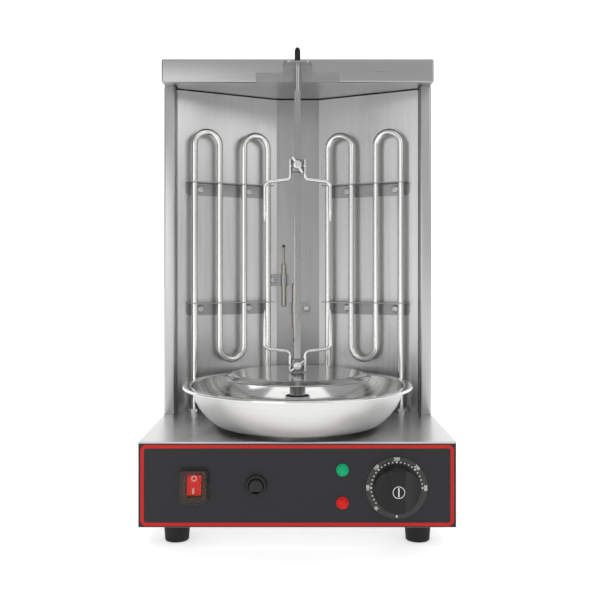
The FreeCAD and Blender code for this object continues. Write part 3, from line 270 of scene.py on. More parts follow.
def carried(path, section, closed_path=False):
    """Section of (sideways, height) points carried along a flat path.

    Each point is the path's point, plus sideways along the path's left, at the height.
    """
    path = np.asarray(path, float)
    section = np.asarray(section, float)
    if closed_path:
        run = np.roll(path, -1, 0) - np.roll(path, 1, 0)
    else:
        run = np.gradient(path, axis=0)
    run = run / np.linalg.norm(run, axis=1, keepdims=True)
    left = np.column_stack([-run[:, 1], run[:, 0]])
    plan = path[:, None, :] + left[:, None, :] * section[None, :, :1]
    height = np.broadcast_to(section[None, :, 1:], (len(path), len(section), 1))
    points = np.concatenate([plan, height], -1)
    return grid(points, close_rows=closed_path, close_columns=True, cap_rows=not closed_path)


def round_bar(path, radius, normal, sides=20):
    """Circle carried along a path that lies in the plane square to normal.

    Each ring is the path's point plus radius times (cosine of normal, sine of sideways).
    The radius may change from point to point.
    """
    path = np.asarray(path, float)
    radius = np.broadcast_to(radius, len(path))
    run = np.gradient(path, axis=0)
    run = run / np.linalg.norm(run, axis=1, keepdims=True)
    normal = np.array(normal, float) / np.linalg.norm(normal)
    sideways = np.cross(run, normal)
    angle = np.linspace(0, 2 * math.pi, sides, endpoint=False)[None, :, None]
    ring = np.cos(angle) * normal + np.sin(angle) * sideways[:, None, :]
    points = path[:, None, :] + radius[:, None, None] * ring
    return grid(points, close_columns=True, cap_rows=True)


def round_ended_bar(start, end, radius, normal, sides=16, steps=5):
    """Straight bar with domed ends: near an end the radius follows a circle's half chord."""
    start, end = np.array(start, float), np.array(end, float)
    length = np.linalg.norm(end - start)
    angle = np.linspace(0.12, math.pi / 2, steps)
    inset = radius * (1 - np.cos(angle))
    along = np.concatenate([inset, length - inset[::-1]])
    girth = radius * np.concatenate([np.sin(angle), np.sin(angle)[::-1]])
    path = start + (end - start) * (along / length)[:, None]
    return round_bar(path, girth, normal, sides)


def stacked(rings):
    """Surface through flat outlines of equal count: a list of (outline, height), both closed."""
    points = np.stack([np.column_stack([outline, np.full(len(outline), height)])
                       for outline, height in rings])
    return grid(points, close_columns=True, cap_rows=True)


def inset_outlines(width, height, rings):
    """Outlines for stacked: rounded rectangles drawn in, from (inset, level, corner) rows."""
    return [(rounded_rectangle(width - 2 * inset, height - 2 * inset, corner), level)
            for inset, level, corner in rings]


def quarter(inset, level, radius, turn, way=1):
    """Rows of (inset, level) round a quarter circle: each grows by radius less its half chord."""
    return [(inset + radius * (1 - math.cos(angle)), level + way * radius * (1 - math.sin(angle)))
            for angle in turn]


def slab(width, height, corner, thickness, edge, steps=4):
    """Plate on the ground plane whose top edge is a quarter circle of radius edge."""
    rows = quarter(0, thickness, edge, np.linspace(0, math.pi / 2, steps + 1), -1)
    return stacked(inset_outlines(width, height, [(inset, level, corner - inset)
                                                  for inset, level in [(0, 0), *rows]]))


def plate(outline, holes, thickness):
    """Flat plate with holes: both faces are triangles between the loops, joined by walls."""
    loops = [np.asarray(loop, float) for loop in [outline, *holes]]
    flat = np.vstack(loops)
    count = len(flat)
    triangles = tessellate_polygon([[Vector((*p, 0)) for p in loop] for loop in loops])
    low = np.column_stack([flat, np.zeros(count)])
    high = np.column_stack([flat, np.full(count, thickness)])
    faces = [list(t) for t in triangles] + [[i + count for i in t[::-1]] for t in triangles]
    start = 0
    for loop in loops:
        here = np.arange(start, start + len(loop))
        after = np.roll(here, -1)
        faces += np.column_stack([here, after, after + count, here + count]).tolist()
        start += len(loop)
    return np.vstack([low, high]), faces


def circle(radius, x=0.0, y=0.0, count=32):
    """Outline of a circle: the middle plus radius times cosine and sine of even angles."""
    angle = np.linspace(0, 2 * math.pi, count, endpoint=False)
    return np.column_stack([x + radius * np.cos(angle), y + radius * np.sin(angle)])


def moved(part, place):
    return part[0] + np.array(place, float), part[1]


def facing_front(part, place):
    """A part drawn pointing up at the origin, turned to point forwards (+z becomes -y)."""
    x, y, z = part[0].T
    return np.column_stack([x, -z, y]) + np.array(place, float), part[1]


def facing_back(part, place):
    """A part drawn pointing up at the origin, turned to point backwards (+z becomes +y)."""
    x, y, z = part[0].T
    return np.column_stack([-x, z, y]) + np.array(place, float), part[1]


def mirrored(part):
    return part[0] * np.array([-1, 1, 1]), part[1]


def both_sides(parts):
    return parts + [mirrored(part) for part in parts]


def make_piece(name, parts, material, body, replaces=(), sharp=32):
    """One mesh from the parts, smooth but for edges sharper than the angle, on its body."""
    mesh = bpy.data.meshes.new(name)
    points, faces, count = [], [], 0
    for vertices, polygons in parts:
        points.append(vertices)
        faces += [[index + count for index in polygon] for polygon in polygons]
        count += len(vertices)
    mesh.from_pydata(np.vstack(points).tolist(), [], faces)
    shape = bmesh.new()
    shape.from_mesh(mesh)
    bmesh.ops.remove_doubles(shape, verts=shape.verts, dist=0.001 * MM)
    bmesh.ops.recalc_face_normals(shape, faces=shape.faces)
    shape.to_mesh(mesh)
    shape.free()
    mesh.polygons.foreach_set("use_smooth", np.ones(len(mesh.polygons), bool))
    mesh.set_sharp_from_angle(angle=math.radians(sharp))
    mesh.materials.append(material)
    piece = bpy.data.objects.new(name, mesh)
    bpy.context.scene.collection.objects.link(piece)
    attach(piece, body)
    if replaces:
        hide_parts(*replaces)
    return piece


# ---- finishes -------------------------------------------------------------------------------
def add(tree, kind, values=None, links=None, **settings):
    """One shader node: its settings, the numbers on its sockets, and what feeds them."""
    node = tree.nodes.new("ShaderNode" + kind)
    for name, value in settings.items():
        setattr(node, name, value)
    for socket, value in (values or {}).items():
        node.inputs[socket].default_value = value
    for socket, source in (links or {}).items():
        tree.links.new(source, node.inputs[socket])
    return node


def new_material(name, colour, roughness, metallic=0.0, **values):
    """Material with a shader whose steady numbers are set on its own sockets."""
    material = bpy.data.materials.get(name)
    if material:
        return material, None, None
    material = bpy.data.materials.new(name)
    material.use_nodes = True
    tree = material.node_tree
    shader = tree.nodes["Principled BSDF"]
    settings = {"Base Color": tuple(colour), "Roughness": roughness, "Metallic": metallic}
    settings.update({key.replace("_", " "): value for key, value in values.items()})
    for socket, value in settings.items():
        shader.inputs[socket].default_value = value
    return material, tree, shader


def streaks(tree, stretch, detail=3.0, vector=None):
    """Noise stretched by the reciprocal lengths in stretch, in the piece's own metres."""
    if vector is None:
        vector = add(tree, "TexCoord").outputs["Object"]
    scaled = add(tree, "Mapping", {"Scale": stretch}, {"Vector": vector})
    return add(tree, "TexNoise", {"Scale": 1.0, "Detail": detail, "Roughness": 0.6},
               {"Vector": scaled.outputs["Vector"]}).outputs["Fac"]


def vary(tree, shader, noise, colour, spread, rough_low, rough_high):
    """Lets a noise lighten and darken the colour and move the roughness between two values."""
    factor = add(tree, "MapRange", {"From Min": 0.3, "From Max": 0.7}, {"Value": noise})
    dark = tuple(channel * (1 - spread) for channel in tuple(colour)[:3]) + (1.0,)
    light = tuple(min(1.0, channel * (1 + spread)) for channel in tuple(colour)[:3]) + (1.0,)
    mix = add(tree, "Mix", {6: dark, 7: light}, {0: factor.outputs[0]}, data_type="RGBA")
    tree.links.new(mix.outputs[2], shader.inputs["Base Color"])
    rough = add(tree, "MapRange", {"To Min": rough_low, "To Max": rough_high},
                {"Value": factor.outputs[0]})
    tree.links.new(rough.outputs[0], shader.inputs["Roughness"])


def raise_surface(tree, shader, noise, strength, height):
    """Bump whose full height is given in metres."""
    bump = add(tree, "Bump", {"Strength": strength, "Distance": height}, {"Height": noise})
    tree.links.new(bump.outputs["Normal"], shader.inputs["Normal"])


def grained(name, colour, roughness, metallic, cell, detail, spread, low, high, bump=None,
            **values):
    """Finish whose colour and roughness follow one noise, with cells of cell millimetres.

    Spread is the share the colour changes by, low and high are the roughness's ends, and bump
    is a strength and a height. Cell is one size, or one for each of x, y and z.
    """
    colour = linear(colour) if isinstance(colour, str) else colour
    material, tree, shader = new_material(name, colour, roughness, metallic, **values)
    if tree:
        size = cell if isinstance(cell, tuple) else (cell,) * 3
        noise = streaks(tree, [1 / (length * MM) for length in size], detail)
        vary(tree, shader, noise, colour, spread, low, high)
        if bump:
            raise_surface(tree, shader, noise, *bump)
    return material


def brushed_stainless(grain, tone="steel"):
    """Stainless sheet, belt-brushed: fine parallel lines that smear reflections across them."""
    # the belt's lines are 0.1 mm apart; they are drawn 0.9 mm apart so that they show
    fine, long = 0.9, 120
    cell = (fine, fine, long) if grain == "upright" else (long, fine, fine)
    return grained(f"stainless_brushed_{grain}_{tone}", getattr(colours(), tone), 0.34, 1.0,
                   cell, 4.0, 0.035, 0.27, 0.38, (0.15, 0.02 * MM))


def rolled_reflector(tone="reflector"):
    """Bright cold-rolled stainless: a soft satin with faint long rolling streaks, upright."""
    return grained(f"stainless_rolled_{tone}", getattr(colours(), tone), 0.3, 1.0,
                   (3, 3, 180), 3.0, 0.04, 0.27, 0.36)


def bright_sheet():
    """Bright-annealed stainless plate: a soft mirror, with faint ripples left by rolling."""
    # The bracket takes the roof's darkened tone, which is painted shade
    return grained("stainless_bright_annealed", colours().roof, 0.2, 1.0, (25, 6, 6), 2.0,
                   0.03, 0.13, 0.22)


def cut_strip_steel():
    """Stainless strip, sheared and folded: duller than the reflectors, with heat-dulled grain."""
    return grained("stainless_sheared_strip", colours().strip, 0.36, 1.0, (14, 14, 0.8), 3.0,
                   0.08, 0.3, 0.45)


def spun_stainless(name, colour, low, high, satin=0.0):
    """Stainless spun on a lathe and buffed: a soft mirror with faint rings round the axis.

    Satin is added to the roughness of faces that look down, where no buffing wheel went.
    """
    material, tree, shader = new_material(name, colour, (low + high) / 2, 1.0)
    if tree:
        place = add(tree, "TexCoord").outputs["Object"]
        centred = add(tree, "VectorMath", {1: ON_AXIS}, {0: place},
                      operation="SUBTRACT")
        flat = add(tree, "VectorMath", {1: (1, 1, 0)}, {0: centred.outputs[0]},
                   operation="MULTIPLY")
        radius = add(tree, "VectorMath", None, {0: flat.outputs[0]}, operation="LENGTH")
        # buffing rings are under 0.2 mm apart; they are drawn 0.8 mm apart so that they show
        rings = add(tree, "TexNoise", {"Scale": 1 / (0.8 * MM), "Detail": 2.0},
                    {"W": radius.outputs["Value"]}, noise_dimensions="1D")
        vary(tree, shader, rings.outputs["Fac"], colour, 0.02, low, high)
        facing = add(tree, "SeparateXYZ",
                     links={"Vector": add(tree, "NewGeometry").outputs["Normal"]})
        under = add(tree, "MapRange", {"From Min": 0.15, "From Max": -0.15, "To Max": satin},
                    {"Value": facing.outputs["Z"]})
        polish = shader.inputs["Roughness"].links[0].from_socket
        both = add(tree, "Math", links={0: polish, 1: under.outputs[0]})
        tree.links.new(both.outputs[0], shader.inputs["Roughness"])
    return material


def annealed_sheath():
    """Heater sheath of drawn alloy tube, bright annealed: grey satin, drawn lines lengthways."""
    return grained("alloy_tube_annealed", colours().heater, 0.25, 1.0, (0.7, 0.7, 40), 3.0,
                   0.04, 0.16, 0.26)


def drawn_bar_steel(tone="bar"):
    """Cold-drawn stainless bar and wire: bright, with fine lines along the spit."""
    return grained(f"stainless_drawn_{tone}", getattr(colours(), tone), 0.22, 1.0,
                   (0.6, 0.6, 30), 3.0, 0.06, 0.16, 0.3)


def blackened_steel():
    """Steel blackened in hot oxide salts: near black, with a soft oily sheen."""
    return grained("steel_oxide_black", "#1C1C1E", 0.3, 0.6, 2, 3.0, 0.2, 0.24, 0.4)


def zinc_plate():
    """Steel with bright zinc plating: pale grey with small cloudy patches."""
    return grained("steel_zinc_plated", "#C9CACB", 0.3, 1.0, 2.5, 4.0, 0.08, 0.24, 0.4)


def nickel_bulb():
    """Copper sensor tube with nickel plating: warm grey, slightly dulled by heat."""
    return grained("copper_nickel_plated", "#A9A39A", 0.3, 1.0, 5, 3.0, 0.1, 0.25, 0.42)


def sintered_bronze():
    """Sintered bronze bush: matt gold-brown with open pores."""
    return grained("bronze_sintered", "#A9885A", 0.45, 1.0, 0.5, 3.0, 0.15, 0.38, 0.6,
                   (0.4, 0.05 * MM))


def charcoal_paint():
    """Baked satin paint on the control panel: an even charcoal with a very fine orange peel."""
    return grained("paint_baked_charcoal", colours().panel, 0.5, 0.0, 1.4, 2.0, 0.05, 0.46,
                   0.56, (0.2, 0.02 * MM), Specular_IOR_Level=0.25)


def screen_ink(name, colour):
    """Screen-printed ink: flat colour, slightly raised, a little uneven in thickness."""
    return grained(name, colour, 0.45, 0.0, 3, 3.0, 0.06, 0.4, 0.52, Specular_IOR_Level=0.25)


def moulded_plastic(name, colour, low, high):
    """ABS or nylon from a spark-eroded mould: a fine even grain that breaks up highlights."""
    return grained(name, colour, (low + high) / 2, 0.0, 0.45, 2.0, 0.08, low, high,
                   (0.15, 0.03 * MM), Specular_IOR_Level=0.3)


def moulded_lens(name, colour, glow):
    """Moulded polycarbonate: deep clear colour under a glossy skin, lit a little from inside: the
    lamps by their own bulbs, the rocker partly by its own lamp and partly as painted light.
    """
    return grained(name, colour, 0.16, 0.0, 4, 2.0, 0.08, 0.12, 0.22, Specular_IOR_Level=0.2,
                   Emission_Color=tuple(colour), Emission_Strength=glow)


def clear_vinyl():
    """Clear soft PVC splash cover: you see through it, and its edges turn grey-olive."""
    return grained("pvc_clear_moulded", "#4A4B3C", 0.05, 0.0, 6, 2.0, 0.02, 0.03, 0.07,
                   Alpha=0.16)


def moulded_rubber():
    """Black moulded rubber: matt, with a fine powdery grain."""
    return grained("rubber_moulded", "#19191A", 0.62, 0.0, 0.8, 3.0, 0.15, 0.55, 0.72,
                   (0.3, 0.05 * MM), Specular_IOR_Level=0.3)


def steatite():
    """Unglazed steatite ceramic: chalky off-white with faint specks."""
    return grained("ceramic_steatite", "#E2DED2", 0.7, 0.0, 1.2, 3.0, 0.05, 0.6, 0.8)


def silicone_wire():
    """Silicone-rubber wire insulation: soft red-brown, slightly dusty."""
    return grained("silicone_extruded", "#8A3B2C", 0.5, 0.0, 2, 3.0, 0.1, 0.42, 0.6)


def white_print():
    return screen_ink("ink_screened_white", colours().print_white)


def black_plastic():
    return moulded_plastic("abs_spark_textured_black", colours().plastic, 0.34, 0.46)


# ---- operators ------------------------------------------------------------------------------
class GRILL_OT_packed_nodes(bpy.types.Operator):
    """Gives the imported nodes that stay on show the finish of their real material"""
    bl_idname = "grill.packed_nodes"
    bl_label = "Finish packed nodes"

    def execute(self, context):
        finishes = (
            (brushed_stainless("across"), "base_housing base_sides bottom_plate"),
            (brushed_stainless("upright", "wall"), "back_cover"),
            # ceiling tone: brushed sheet darkened as painted shade under the roof
            (brushed_stainless("across", "ceiling"), "ceiling_plate"),
            (bright_sheet(), "top_bracket"),
            (charcoal_paint(), "front_panel"),
            (rolled_reflector(), "right_reflector left_reflector"),
            # centre reflector: the reflector sheet darkened as painted shade
            (rolled_reflector("fold"), "centre_reflector"),
            (zinc_plate(), "bottom_plate_screws foot_screws cover_screws reflector_screws "
                           "motor_screws motor_bracket heater_fittings pan_support_ring "
                           "gear_motor"),
            (drawn_bar_steel(), "motor_shaft drive_shaft thermostat_shaft"),
            (sintered_bronze(), "drive_bush"),
            (nickel_bulb(), "thermostat_bulb limit_bulb"),
            (moulded_rubber(), "capillary_grommets"),
            (steatite(), "heater_terminals terminal_block"),
            (silicone_wire(), "wiring"),
            (moulded_plastic("phenolic_moulded_brown", "#33241C", 0.4, 0.55),
             "thermostat_body high_limit_switch"),
            (black_plastic(), "lamp_bodies"),
        )
        for material, nodes in finishes:
            for node in nodes.split():
                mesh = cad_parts[node].data
                mesh.materials.clear()
                mesh.materials.append(material)
        return {"FINISHED"}


class GRILL_OT_border(bpy.types.Operator):
    """Makes the red line printed round the control panel"""
    bl_idname = "grill.border"
    bl_label = "Panel border"

    def execute(self, context):
        """Two rounded rectangles, one inside the other, with a flat ring between them."""
        s = sizes()
        middle = centre("front_panel")
        outer = rounded_rectangle(s.border_width, s.border_height, s.border_corner, 8)
        inner = rounded_rectangle(s.border_width - 2 * s.border_line,
                                  s.border_height - 2 * s.border_line,
                                  s.border_corner - s.border_line, 8)
        ring = plate(outer, [inner], 0.12 * MM)
        place = (middle.x, PANEL_Y, middle.z)
        ink = screen_ink("ink_screened_red", colours().border)
        make_piece("panel_border_line", [facing_front(ring, place)], ink, "root")
        return {"FINISHED"}


class GRILL_OT_power_switch(bpy.types.Operator):
    """Makes the switch frame, the rocker with its marks, and the clear splash cover"""
    bl_idname = "grill.power_switch"
    bl_label = "Power switch"

    def execute(self, context):
        """Rounded rectangles stacked from the well's floor over the rim and down the outside."""
        low, high, place = on_panel("switch_housing")
        depth = PANEL_Y - low.y
        slot_low, slot_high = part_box("rocker_button")
        pin = 1.9 * MM
        slot_width = slot_high.x - slot_low.x - 2 * pin + 0.8 * MM
        slot_height = slot_high.z - slot_low.z + 2.4 * MM
        edge = 1.1 * MM
        well = 12 * MM
        slot = [(0.6 * MM, -well), (0.0, 0.0), (0.0, depth - 1.6 * MM),
                (-0.5 * MM, depth - 1.0 * MM), (-1.2 * MM, depth - 0.8 * MM)]
        outside = [(2.2 * MM, depth), (edge, depth), (0.35 * edge, depth - 0.3 * edge),
                   (0.0, depth - edge), (0.0, 0.0), (2 * MM, 0.0), (2 * MM, -well - 2 * MM)]
        rings = inset_outlines(slot_width, slot_height, [(*row, 0.8 * MM) for row in slot])
        rings += inset_outlines(high.x - low.x, high.z - low.z,
                                [(*row, 2.0 * MM - 0.5 * row[0]) for row in outside])
        frame_part = facing_front(stacked(rings), place)
        # The frame is black nylon; its dark red is painted red light and reflection from the
        # rocker under the clear cover
        surround = moulded_plastic("nylon_moulded_dark_red", "#4A1416", 0.2, 0.32)
        make_piece("switch_frame", [frame_part], surround, "root",
                   ["switch_housing"])
        self.make_rocker(slot_low, slot_high, pin)
        self.make_cover()
        return {"FINISHED"}

    def make_rocker(self, low, high, pin):
        """The rocker's face is a shallow V whose height falls from both ends to the middle.

        The V is tipped about the pin, so that the bottom end stands out when it is off.
        """
        # The rocker's glow is partly the switch's own lamp and partly painted light that
        # brightens it under the cover
        lens = moulded_lens("polycarbonate_moulded_red", colours().rocker, 0.45)
        width = high.x - low.x - 2 * pin
        x = (low.x + high.x) / 2
        pivot = PANEL_Y + 4 * MM
        z = centre("switch_housing").z
        half = 9.7 * MM
        across = np.linspace(-half, half, 41)
        face = 5.6 * MM + 2.0 * MM * (np.abs(across) / half) ** 1.15
        back = np.full_like(face, -1.7 * MM)
        outline = np.vstack([np.column_stack([face, across]),
                             np.column_stack([back, across])[::-1]])
        bevel_x = np.array([0.0, 0.25, 0.75, 1.0]) * 0.9 * MM
        inset = np.array([0.9, 0.35, 0.05, 0.0]) * MM
        stations = np.concatenate([-width / 2 + bevel_x, (width / 2 - bevel_x)[::-1]])
        insets = np.concatenate([inset, inset[::-1]])
        middle = np.array([1.5 * MM, 0.0])
        shrink = 1 - insets[:, None, None] / half
        section = middle + (outline - middle)[None, :, :] * shrink
        tip = math.radians(10)
        forward = section[..., 0] * math.cos(tip) - section[..., 1] * math.sin(tip)
        up = section[..., 0] * math.sin(tip) + section[..., 1] * math.cos(tip)
        points = np.stack([np.broadcast_to(x + stations[:, None], forward.shape),
                           pivot - forward, z + up], -1)
        body = grid(points, close_columns=True, cap_rows=True)
        axle = round_bar(np.linspace((low.x, pivot, z), (high.x, pivot, z), 3), 1.45 * MM,
                         (0, 0, 1))
        make_piece("rocker", [body, axle], lens, "rocker", ["rocker_button"])

        def on_face(part):
            """Bends a flat mark onto the V face and tips it with the rocker."""
            px, py, pz = part[0].T
            out = 5.6 * MM + 2.0 * MM * (np.abs(py) / half) ** 1.15 + pz + 0.02 * MM
            ahead = out * math.cos(tip) - py * math.sin(tip)
            high_up = out * math.sin(tip) + py * math.cos(tip)
            return np.column_stack([x + px, pivot - ahead, z + high_up]), part[1]

        mark_y = 6.6 * MM
        ring = plate(circle(2.9 * MM, 0, mark_y, 40), [circle(1.9 * MM, 0, mark_y, 40)],
                     0.12 * MM)
        bar = slab(1.7 * MM, 5.4 * MM, 0.3 * MM, 0.12 * MM, 0.05 * MM)
        bar = moved(bar, (-0.6 * MM, -mark_y + 0.9 * MM, 0))
        ink = screen_ink("ink_padded_pink_white", linear("#F2D4D2"))
        make_piece("rocker_marks", [on_face(ring), on_face(bar)], ink, "rocker")

    def make_cover(self):
        """Clear box with one open side: the outside rings run on over the rim to the inside."""
        low, high, place = on_panel("switch_cover")
        width, height = high.x - low.x, high.z - low.z
        depth = PANEL_Y - low.y
        wall = 1.0 * MM
        flange = 1.2 * MM
        edge = 1.6 * MM
        angle = np.linspace(0, math.pi / 2, 6)
        inside = quarter(flange + wall, depth - wall, edge - wall * 0.6, angle[::-1], -1)
        outside = quarter(flange, depth, edge, angle, -1)
        rings = [(*row, 2.6 * MM) for row in inside + [(flange + wall, 0.0)]]
        rings += [(0.0, 0.0, 4 * MM), (0.0, wall, 4 * MM)]
        rings += [(*row, 3.6 * MM) for row in [(flange, wall)] + outside]
        box = stacked(inset_outlines(width, height, rings))
        make_piece("splash_cover", [facing_front(box, place)], clear_vinyl(), "root",
                   ["switch_cover"])


class GRILL_OT_reset(bpy.types.Operator):
    """Makes the reset button with its flat lower edge, and the collar round it"""
    bl_idname = "grill.reset"
    bl_label = "Reset button"

    def execute(self, context):
        """Rounded profiles turned about the button's axis."""
        low, high, place = on_panel("reset_collar")
        radius = (high.x - low.x) / 2
        height = PANEL_Y - low.y
        depth = high.y - PANEL_Y
        bore = 7.35 * MM
        profile = [(bore, -depth), (bore, height - 0.8 * MM), (bore + 0.8 * MM, height)]
        profile += round_corners([(bore + 0.8 * MM, height), (radius, height), (radius, 0)],
                                 2.2 * MM)[1:].tolist()
        profile += [(8.7 * MM, 0), (8.7 * MM, -depth)]
        plastic = moulded_plastic("nylon_moulded_charcoal", "#242426", 0.42, 0.55)
        make_piece("reset_ring", [facing_front(turned(profile, segments=64), place)],
                   plastic, "root", ["reset_collar"])
        low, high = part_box("reset_button")
        radius = 7.25 * MM
        reach = PANEL_Y - low.y
        rear = 7.0 * MM
        crown = round_corners([(0, reach), (radius, reach - 0.8 * MM), (radius, -rear)],
                              1.5 * MM)
        points, faces = turned(crown, closed=False, segments=64)
        # the cap's lower edge is cut flat: points below a chord move up to it
        flat = -4.4 * MM
        ahead = points[:, 2] > 4.4 * MM
        points[ahead, 1] = np.maximum(points[ahead, 1], flat)
        tail = [(0, 0), (2 * MM, 0), (2 * MM, 4 * MM), (8.1 * MM, 4 * MM),
                (8.1 * MM, 5.7 * MM), (0, 5.7 * MM)]
        stem = facing_front(turned(tail, closed=False, segments=32),
                            (place[0], high.y, place[2]))
        cap = facing_front((points, faces + [list(range(len(points) - 64, len(points)))]), place)
        make_piece("reset_cap", [cap, stem], plastic, "reset_button",
                   ["reset_button"])
        return {"FINISHED"}


class GRILL_OT_lamps(bpy.types.Operator):
    """Makes the green and red lamp lenses: a flange with a domed, ringed lens on it"""
    bl_idname = "grill.lamps"
    bl_label = "Lamps"

    def execute(self, context):
        """A turned profile: the dome's radius is a cosine, its height a power of a sine."""
        for name, colour, slot in (("green_lamp", colours().green, "green_lens"),
                                   ("red_lamp", colours().red, "red_lens")):
            low, high, place = on_panel(name)
            radius = (high.x - low.x) / 2
            height = PANEL_Y - low.y
            flange = 1.2 * MM
            rim = round_corners([(radius, 0), (radius, flange), (radius - 1.1 * MM, flange)],
                                0.5 * MM)
            dome = radius - 1.2 * MM
            turn = np.linspace(0, math.pi / 2, 12)
            cap = np.column_stack([dome * np.cos(turn),
                                   flange + (height - flange) * np.sin(turn) ** 0.8])
            profile = np.vstack([[(0, 0)], rim, cap[:-1], [(0, height)]])
            lens = moulded_lens("polycarbonate_moulded_" + name.split("_")[0] + "_lens",
                                colour, 0.12)
            part = facing_front(turned(profile, closed=False, segments=64), place)
            make_piece(name + "_lens", [part], lens, "root", [name])
        return {"FINISHED"}


class GRILL_OT_dial(bpy.types.Operator):
    """Makes the fixed dial ring with its dots, numbers and off mark"""
    bl_idname = "grill.dial"
    bl_label = "Dial ring"

    def execute(self, context):
        """A turned ring, with dots every 9 degrees round it and a number every 45 degrees."""
        s = sizes()
        low, high, place = on_panel("dial_ring")
        radius = (high.x - low.x) / 2
        height = PANEL_Y - low.y
        outer = round_corners([(radius, 0), (radius - 0.3 * MM, height),
                               (radius - 6 * MM, height)], 0.7 * MM)
        profile = np.vstack([[(5 * MM, 0)], outer, [(5 * MM, height)]])
        ring = moulded_plastic("aluminium_black_anodised", "#3B3B39", 0.24, 0.34)
        make_piece("dial_disc", [facing_front(turned(profile), place)], ring, "root",
                   ["dial_ring"])
        lift = 0.06 * MM
        marks = []
        for angle in np.arange(-126, 91, 9):
            turn = math.radians(angle)
            size = s.dot_radius * (1.3 if angle % 45 == 0 else 1.0)
            dot = plate(circle(size, s.dot_circle * math.sin(turn),
                               s.dot_circle * math.cos(turn), 14), [], lift)
            marks.append(moved(dot, (0, 0, height)))
        off = slab(1.7 * MM, 4.0 * MM, 0.5 * MM, lift, 0.02 * MM)
        marks.append(moved(off, (0, -28.2 * MM, height)))
        marks += [self.numeral(50 * (step + 4), 45 * step, height, lift)
                  for step in range(-3, 3)]
        marks = [facing_front(part, place) for part in marks]
        make_piece("dial_marks", marks, white_print(), "root")
        return {"FINISHED"}

    def numeral(self, number, angle, height, lift):
        """Number as flat letters, turned so that its foot points at the dial's centre."""
        s = sizes()
        text = bpy.data.curves.new("numeral", "FONT")
        text.body = str(number)
        text.size = s.numeral_height * 1.25
        text.space_character = 0.86
        text.align_x = "CENTER"
        text.align_y = "CENTER"
        text.extrude = lift / 2
        text.offset = 0.045 * MM
        text.resolution_u = 3
        holder = bpy.data.objects.new("numeral", text)
        mesh = bpy.data.meshes.new_from_object(holder)
        bpy.data.objects.remove(holder)
        flat = np.zeros(len(mesh.vertices) * 3)
        mesh.vertices.foreach_get("co", flat)
        points = flat.reshape(-1, 3)
        faces = [list(polygon.vertices) for polygon in mesh.polygons]
        bpy.data.meshes.remove(mesh)
        turn = math.radians(angle)
        reach = s.dot_circle + s.dot_radius + 0.45 * MM + s.numeral_height / 2
        px = points[:, 0] * math.cos(turn) + (points[:, 1] + reach) * math.sin(turn)
        py = -points[:, 0] * math.sin(turn) + (points[:, 1] + reach) * math.cos(turn)
        return np.column_stack([px, py, points[:, 2] + height + lift / 2]), faces


class GRILL_OT_knob(bpy.types.Operator):
    """Makes the thermostat knob: a round skirt with a scooped grip bar across it"""
    bl_idname = "grill.knob"
    bl_label = "Thermostat knob"

    def execute(self, context):
        """Height over the skirt as a function of place: bar height inside the grip, and a
        concave scoop that falls from the grip to the skirt's edge outside it."""
        s = sizes()
        low, high, place = on_panel("control_knob")
        radius = (high.x - low.x) / 2
        back = PANEL_Y - high.y
        top = PANEL_Y - low.y
        skirt = back + 5.6 * MM
        angle = np.linspace(0, 2 * math.pi, 160, endpoint=False)[None, :]
        part = np.linspace(0, 1, 60)[:, None]
        reach = radius * part
        px = reach * np.cos(angle)
        py = reach * np.sin(angle)
        half_bar = s.knob_bar / 2 * (0.8 + 0.3 * (np.abs(py) / radius) ** 2)
        beside = np.clip((np.abs(px) - half_bar) / (0.72 * radius), 0, 1)
        beside = np.sqrt(beside ** 2 + 0.01) - 0.1
        scoop = (1 - beside) ** 2.0
        crown = top - 1.6 * MM * (np.abs(py) / radius) ** 3
        level = skirt + (crown - skirt) * scoop
        edge = 2.2 * MM
        fall = np.clip((reach - (radius - edge)) / edge, 0, 1)
        level = level - edge * (1 - np.sqrt(1 - fall ** 2)) * (0.5 + 0.5 * scoop)
        face = np.stack([px, py, level], -1)
        foot = face[-1:].copy()
        foot[..., 2] = back
        hub = foot.copy()
        hub[..., :2] *= 3.2 * MM / radius
        well = hub.copy()
        well[..., 2] = back + 11.8 * MM
        points, faces = grid(np.concatenate([face, foot, hub, well]), close_columns=True)
        faces.append(list(range(len(points) - 160, len(points))))
        body = facing_front((points, faces), place)
        satin = moulded_plastic("phenolic_moulded_black", "#171719", 0.3, 0.42)
        make_piece("knob_grip", [body], satin, "knob", ["control_knob"],
                   sharp=50)
        ring = plate(circle(6.1 * MM, count=48), [circle(5.5 * MM, count=48)], 0.08 * MM)
        bar = slab(1.2 * MM, 9.4 * MM, 0.6 * MM, 0.08 * MM, 0.03 * MM)
        marks = [facing_front(moved(mark, (0, 0, top - 0.06 * MM)), place)
                 for mark in (ring, bar)]
        make_piece("knob_mark", marks, white_print(), "knob")
        return {"FINISHED"}


class GRILL_OT_feet(bpy.types.Operator):
    """Makes the four rubber feet: tapered, with a rounded sole and a screw recess"""
    bl_idname = "grill.feet"
    bl_label = "Rubber feet"

    def execute(self, context):
        """One rounded profile turned at each corner of the feet's box."""
        low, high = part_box("rubber_feet")
        top = 14 * MM
        sole = 12.5 * MM
        height = high.z
        outside = round_corners([(5.5 * MM, 0), (sole, 0), (top, height),
                                 (2.2 * MM, height)], [0, 1.6 * MM, 0.8 * MM, 0])
        inside = [(2.2 * MM, 12 * MM), (5.5 * MM, 12 * MM)]
        profile = np.vstack([outside, inside])
        feet = [turned(profile, (x, y, 0), segments=64)
                for x in (low.x + top, high.x - top) for y in (low.y + top, high.y - top)]
        make_piece("feet", feet, moulded_rubber(), "root", ["rubber_feet"])
        return {"FINISHED"}


